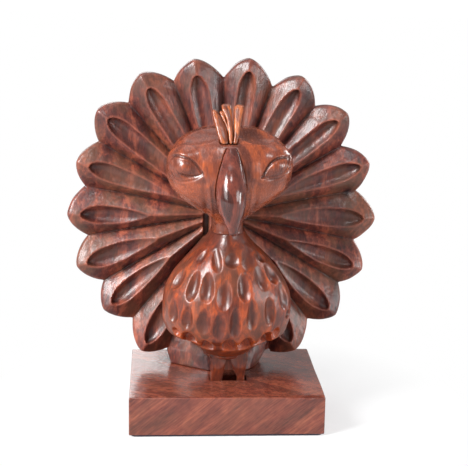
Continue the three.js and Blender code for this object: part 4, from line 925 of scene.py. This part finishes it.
def felt_material():
    n = Nodes("felt_dark")
    tc = n.add("ShaderNodeTexCoord"); P = n.stretch(tc.outputs["Object"], (1000, 1000, 1000))
    a = n.noise(P, 2.2, 6.0, 0.7, 0.4); b = n.noise(P, 9.0, 3.0, 0.6)
    f = n.math("ADD", n.math("MULTIPLY", a, 0.6), n.math("MULTIPLY", b, 0.4))
    n.link(n.ramp(f, [(0.3, srgb(14, 15, 26)), (0.7, srgb(44, 46, 70))]), n.bsdf.inputs["Base Color"])
    n.bsdf.inputs["Roughness"].default_value = 0.95
    n.bsdf.inputs["Sheen Weight"].default_value = 0.5
    bp = n.add("ShaderNodeBump"); n.link(f, bp.inputs["Height"]); bp.inputs["Strength"].default_value = 0.7; bp.inputs["Distance"].default_value = 0.0003
    n.link(bp.outputs[0], n.bsdf.inputs["Normal"])
    return n.mat


def screw_material():
    n = Nodes("screw_zinc")
    tc = n.add("ShaderNodeTexCoord"); P = n.stretch(tc.outputs["Object"], (1000, 1000, 1000))
    a = n.noise(P, 1.1, 4.0, 0.6); b = n.noise(n.stretch(P, (1, 1, 6)), 2.5, 3.0, 0.6)
    n.link(n.ramp(a, [(0.3, srgb(150, 132, 86)), (0.7, srgb(214, 196, 140))]), n.bsdf.inputs["Base Color"])
    n.bsdf.inputs["Metallic"].default_value = 1.0
    n.link(n.math("ADD", 0.22, n.math("MULTIPLY", b, 0.25)), n.bsdf.inputs["Roughness"])
    bp = n.add("ShaderNodeBump"); n.link(b, bp.inputs["Height"]); bp.inputs["Strength"].default_value = 0.2; bp.inputs["Distance"].default_value = 0.0001
    n.link(bp.outputs[0], n.bsdf.inputs["Normal"])
    return n.mat


M_FAN = wood("rosewood_fan", srgb(166, 87, 64), srgb(110, 52, 43), srgb(42, 18, 21), grain=(0.12, 0, 1), layer=(1, 0.35, 0), bands=0.11, seed=1.0, rough=0.40, coat=0.18, band_gain=0.9, blotch=1.0, cut=0.36, tool=0.38, bump=0.4, edge=0.42, crease=0.55, olive=0.40)
M_BODY = wood("rosewood_breast", srgb(196, 86, 36), srgb(124, 54, 34), srgb(54, 23, 19), grain=(0.05, 0.1, 1), layer=(1, 0.6, 0), bands=0.12, seed=2.0, rough=0.33, coat=0.16, band_gain=0.6, blotch=0.9, fine_gain=0.6, cut=0.66, edge=0.25, crease=0.5, tool=0.28, olive=0.22)
M_HEAD = wood("rosewood_head", srgb(186, 90, 46), srgb(124, 61, 42), srgb(60, 28, 23), grain=(-0.05, 0.1, 1), layer=(0.8, 1, 0), bands=0.10, seed=3.4, rough=0.26, coat=0.28, band_gain=0.7, fine_gain=0.5, blotch=0.6, cut=0.6, edge=0.2, crease=0.4, tool=0.15, bump=0.15, streak=0.3)
M_BEAK = wood("rosewood_beak", srgb(132, 64, 48), srgb(94, 43, 34), srgb(46, 20, 16), grain=(0, 0, 1), layer=(1, 1, 0), bands=0.2, seed=4.1, rough=0.17, coat=0.5, tool=0.06, edge=0.3, crease=0.2, streak=0.3, bump=0.12)
M_CREST = wood("rosewood_crest", srgb(192, 106, 58), srgb(144, 72, 42), srgb(78, 35, 24), grain=(-0.25, 0.4, 1), layer=(1, 0, 0.2), bands=0.45, seed=5.2, rough=0.24, coat=0.4, edge=0.15, crease=0.35, fine_gain=0.9, tool=0.15)
M_BASE = wood("rosewood_base", srgb(172, 96, 70), srgb(128, 64, 50), srgb(52, 25, 24), grain=(1.0, 0.0, 0.8), layer=(1, 1.67, -1.25), bands=0.16, seed=6.3, rough=0.19, coat=0.5, band_gain=0.55, fine_gain=0.9, warp=1.5, across=0.6, blotch=0.35, tool=0.10, edge=0.3, olive=0.15)
M_DOWEL = wood("beech_dowel", srgb(216, 180, 132), srgb(196, 156, 108), srgb(160, 118, 76), grain=(0, 1, 0), layer=(1, 0, 0), bands=0.5, seed=7.7, rough=0.55, coat=0.0, pores=0.3)
M_FELT = felt_material()
M_SCREW = screw_material()


def dress(ob, mat, slot, *nodes):
    ob.data.materials.clear(); ob.data.materials.append(mat)
    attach(ob, "root")
    if nodes:
        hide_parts(*nodes)


dress(build_fan(), M_FAN, "fan_wood", "tail_fan")
dress(build_breast(), M_BODY, "figure_wood", "breast_and_legs")
dress(build_head(), M_HEAD, "figure_wood", "head_and_neck")
dress(build_beak(), M_BEAK, "beak_wood", "beak")
for k, (name, rows) in enumerate(CREST.items()):
    dress(build_crest(name + "_carved", rows, 60 + k), M_CREST, "crest_wood", name)
dress(build_base(), M_BASE, "base_wood", "base_block")
dress(build_felt(), M_FELT, "base_felt", "base_felt")
for name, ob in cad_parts.items():
    if name.endswith("dowel") or "dowel" in name:
        mat = M_DOWEL
    elif "screw" in name:
        mat = M_SCREW
    else:
        continue
    ob.data.materials.clear(); ob.data.materials.append(mat)

# ------------------------------------------------------------------ stage, light and camera
floor = bpy.data.meshes.new("floor")
floor.from_pydata([(-4, -3, 0), (4, -3, 0), (4, 5, 0), (-4, 5, 0)], [], [(0, 1, 2, 3)])
floor_ob = bpy.data.objects.new("floor", floor); bpy.context.scene.collection.objects.link(floor_ob)
fm = Nodes("floor_pale"); fm.bsdf.inputs["Base Color"].default_value = (0.86, 0.86, 0.87, 1); fm.bsdf.inputs["Roughness"].default_value = 0.85
# seen directly, the sweep brightens to plain white away from the object
geo = fm.add("ShaderNodeNewGeometry"); flat = fm.stretch(geo.outputs["Position"], (1, 1, 0))
ln = fm.add("ShaderNodeVectorMath", operation="LENGTH"); fm.link(flat, ln.inputs[0])
far = fm.math("ADD", fm.math("MULTIPLY", fm.math("SUBTRACT", ln.outputs["Value"], 0.05), 7.0), 0.55, clamp=True)
path = fm.add("ShaderNodeLightPath")
fm.link(fm.mix(path.outputs["Is Camera Ray"], (0.52, 0.52, 0.53), (0.86, 0.86, 0.87)), fm.bsdf.inputs["Base Color"])
em = fm.add("ShaderNodeEmission"); em.inputs[0].default_value = (1, 1, 1, 1); em.inputs[1].default_value = 1.0
sh = fm.add("ShaderNodeMixShader"); fm.link(fm.math("MULTIPLY", far, path.outputs["Is Camera Ray"]), sh.inputs[0])
fm.link(fm.bsdf.outputs[0], sh.inputs[1]); fm.link(em.outputs[0], sh.inputs[2]); fm.link(sh.outputs[0], fm.out.inputs[0])
floor.materials.append(fm.mat)

world = bpy.data.worlds.new("studio"); bpy.context.scene.world = world
world.use_nodes = True
wt = world.node_tree; bg = wt.nodes["Background"]; bg.inputs[0].default_value = (0.98, 0.985, 1, 1)
lp = wt.nodes.new("ShaderNodeLightPath")


def world_math(op, a, b):
    m = wt.nodes.new("ShaderNodeMath"); m.operation = op
    for sock, v in zip(m.inputs, (a, b)):
        if isinstance(v, float):
            sock.default_value = v
        else:
            wt.links.new(v, sock)
    return m.outputs[0]


# white sweep where it's seen or mirrored, dimmer as a light
seen = world_math("ADD", world_math("MULTIPLY", lp.outputs["Is Camera Ray"], 0.90), world_math("MULTIPLY", lp.outputs["Is Glossy Ray"], 0.20))
wt.links.new(world_math("ADD", seen, 0.21), bg.inputs[1])


def area(name, loc, target, size, power, size_y=None):
    li = bpy.data.lights.new(name, "AREA"); li.energy = power; li.shape = "RECTANGLE"; li.size = size; li.size_y = size_y or size
    ob = bpy.data.objects.new(name, li); bpy.context.scene.collection.objects.link(ob)
    ob.location = loc; d = Vector(target) - Vector(loc); ob.rotation_euler = d.to_track_quat("-Z", "Y").to_euler()
    return ob


area("key", (-0.66, -0.42, 0.60), (0, 0, 0.09), 0.24, 12.5, 0.42)
area("side", (-0.80, -0.45, 0.32), (0, 0, 0.07), 0.40, 2.4)
area("high", (-0.06, -0.56, 0.86), (0, 0, 0.09), 0.16, 1.2)
area("fill", (0.62, -0.50, 0.25), (0, 0, 0.09), 0.30, 1.6)
area("top", (-0.05, 0.10, 0.80), (0, 0, 0.1), 0.5, 1.0)
area("rim", (0.55, 0.35, 0.35), (0, 0, 0.1), 0.25, 2.0)
area("edge", (0.55, -0.17, 0.08), (0, -0.02, 0.05), 0.10, 1.15, 0.25)
area("back", (-0.28, 0.90, 0.32), (0, 0, 0.03), 0.55, 1.3, 0.32)

cam_data = bpy.data.cameras.new("camera"); cam = bpy.data.objects.new("camera", cam_data)
bpy.context.scene.collection.objects.link(cam)
cam_data.sensor_width = 36; cam_data.lens = 1132.21 / 468 * 36
cam_data.clip_start = 0.01; cam_data.clip_end = 20
yaw, pitch, roll = (math.radians(a) for a in (3.903, 13.020, -1.127))
fw = Vector((math.sin(yaw) * math.cos(pitch), math.cos(yaw) * math.cos(pitch), -math.sin(pitch)))
rt = Vector((math.cos(yaw), -math.sin(yaw), 0)); dn = fw.cross(rt)
rt2 = rt * math.cos(roll) + dn * math.sin(roll); dn2 = dn * math.cos(roll) - rt * math.sin(roll)
rot = Matrix((rt2, -dn2, -fw)).transposed()
cam.matrix_world = Matrix.Translation(Vector((-29.92, -489.33, 196.51)) * MM) @ rot.to_4x4()
bpy.context.scene.camera = cam
bpy.context.scene.view_settings.view_transform = "Standard"
bpy.context.scene.view_settings.look = "None"
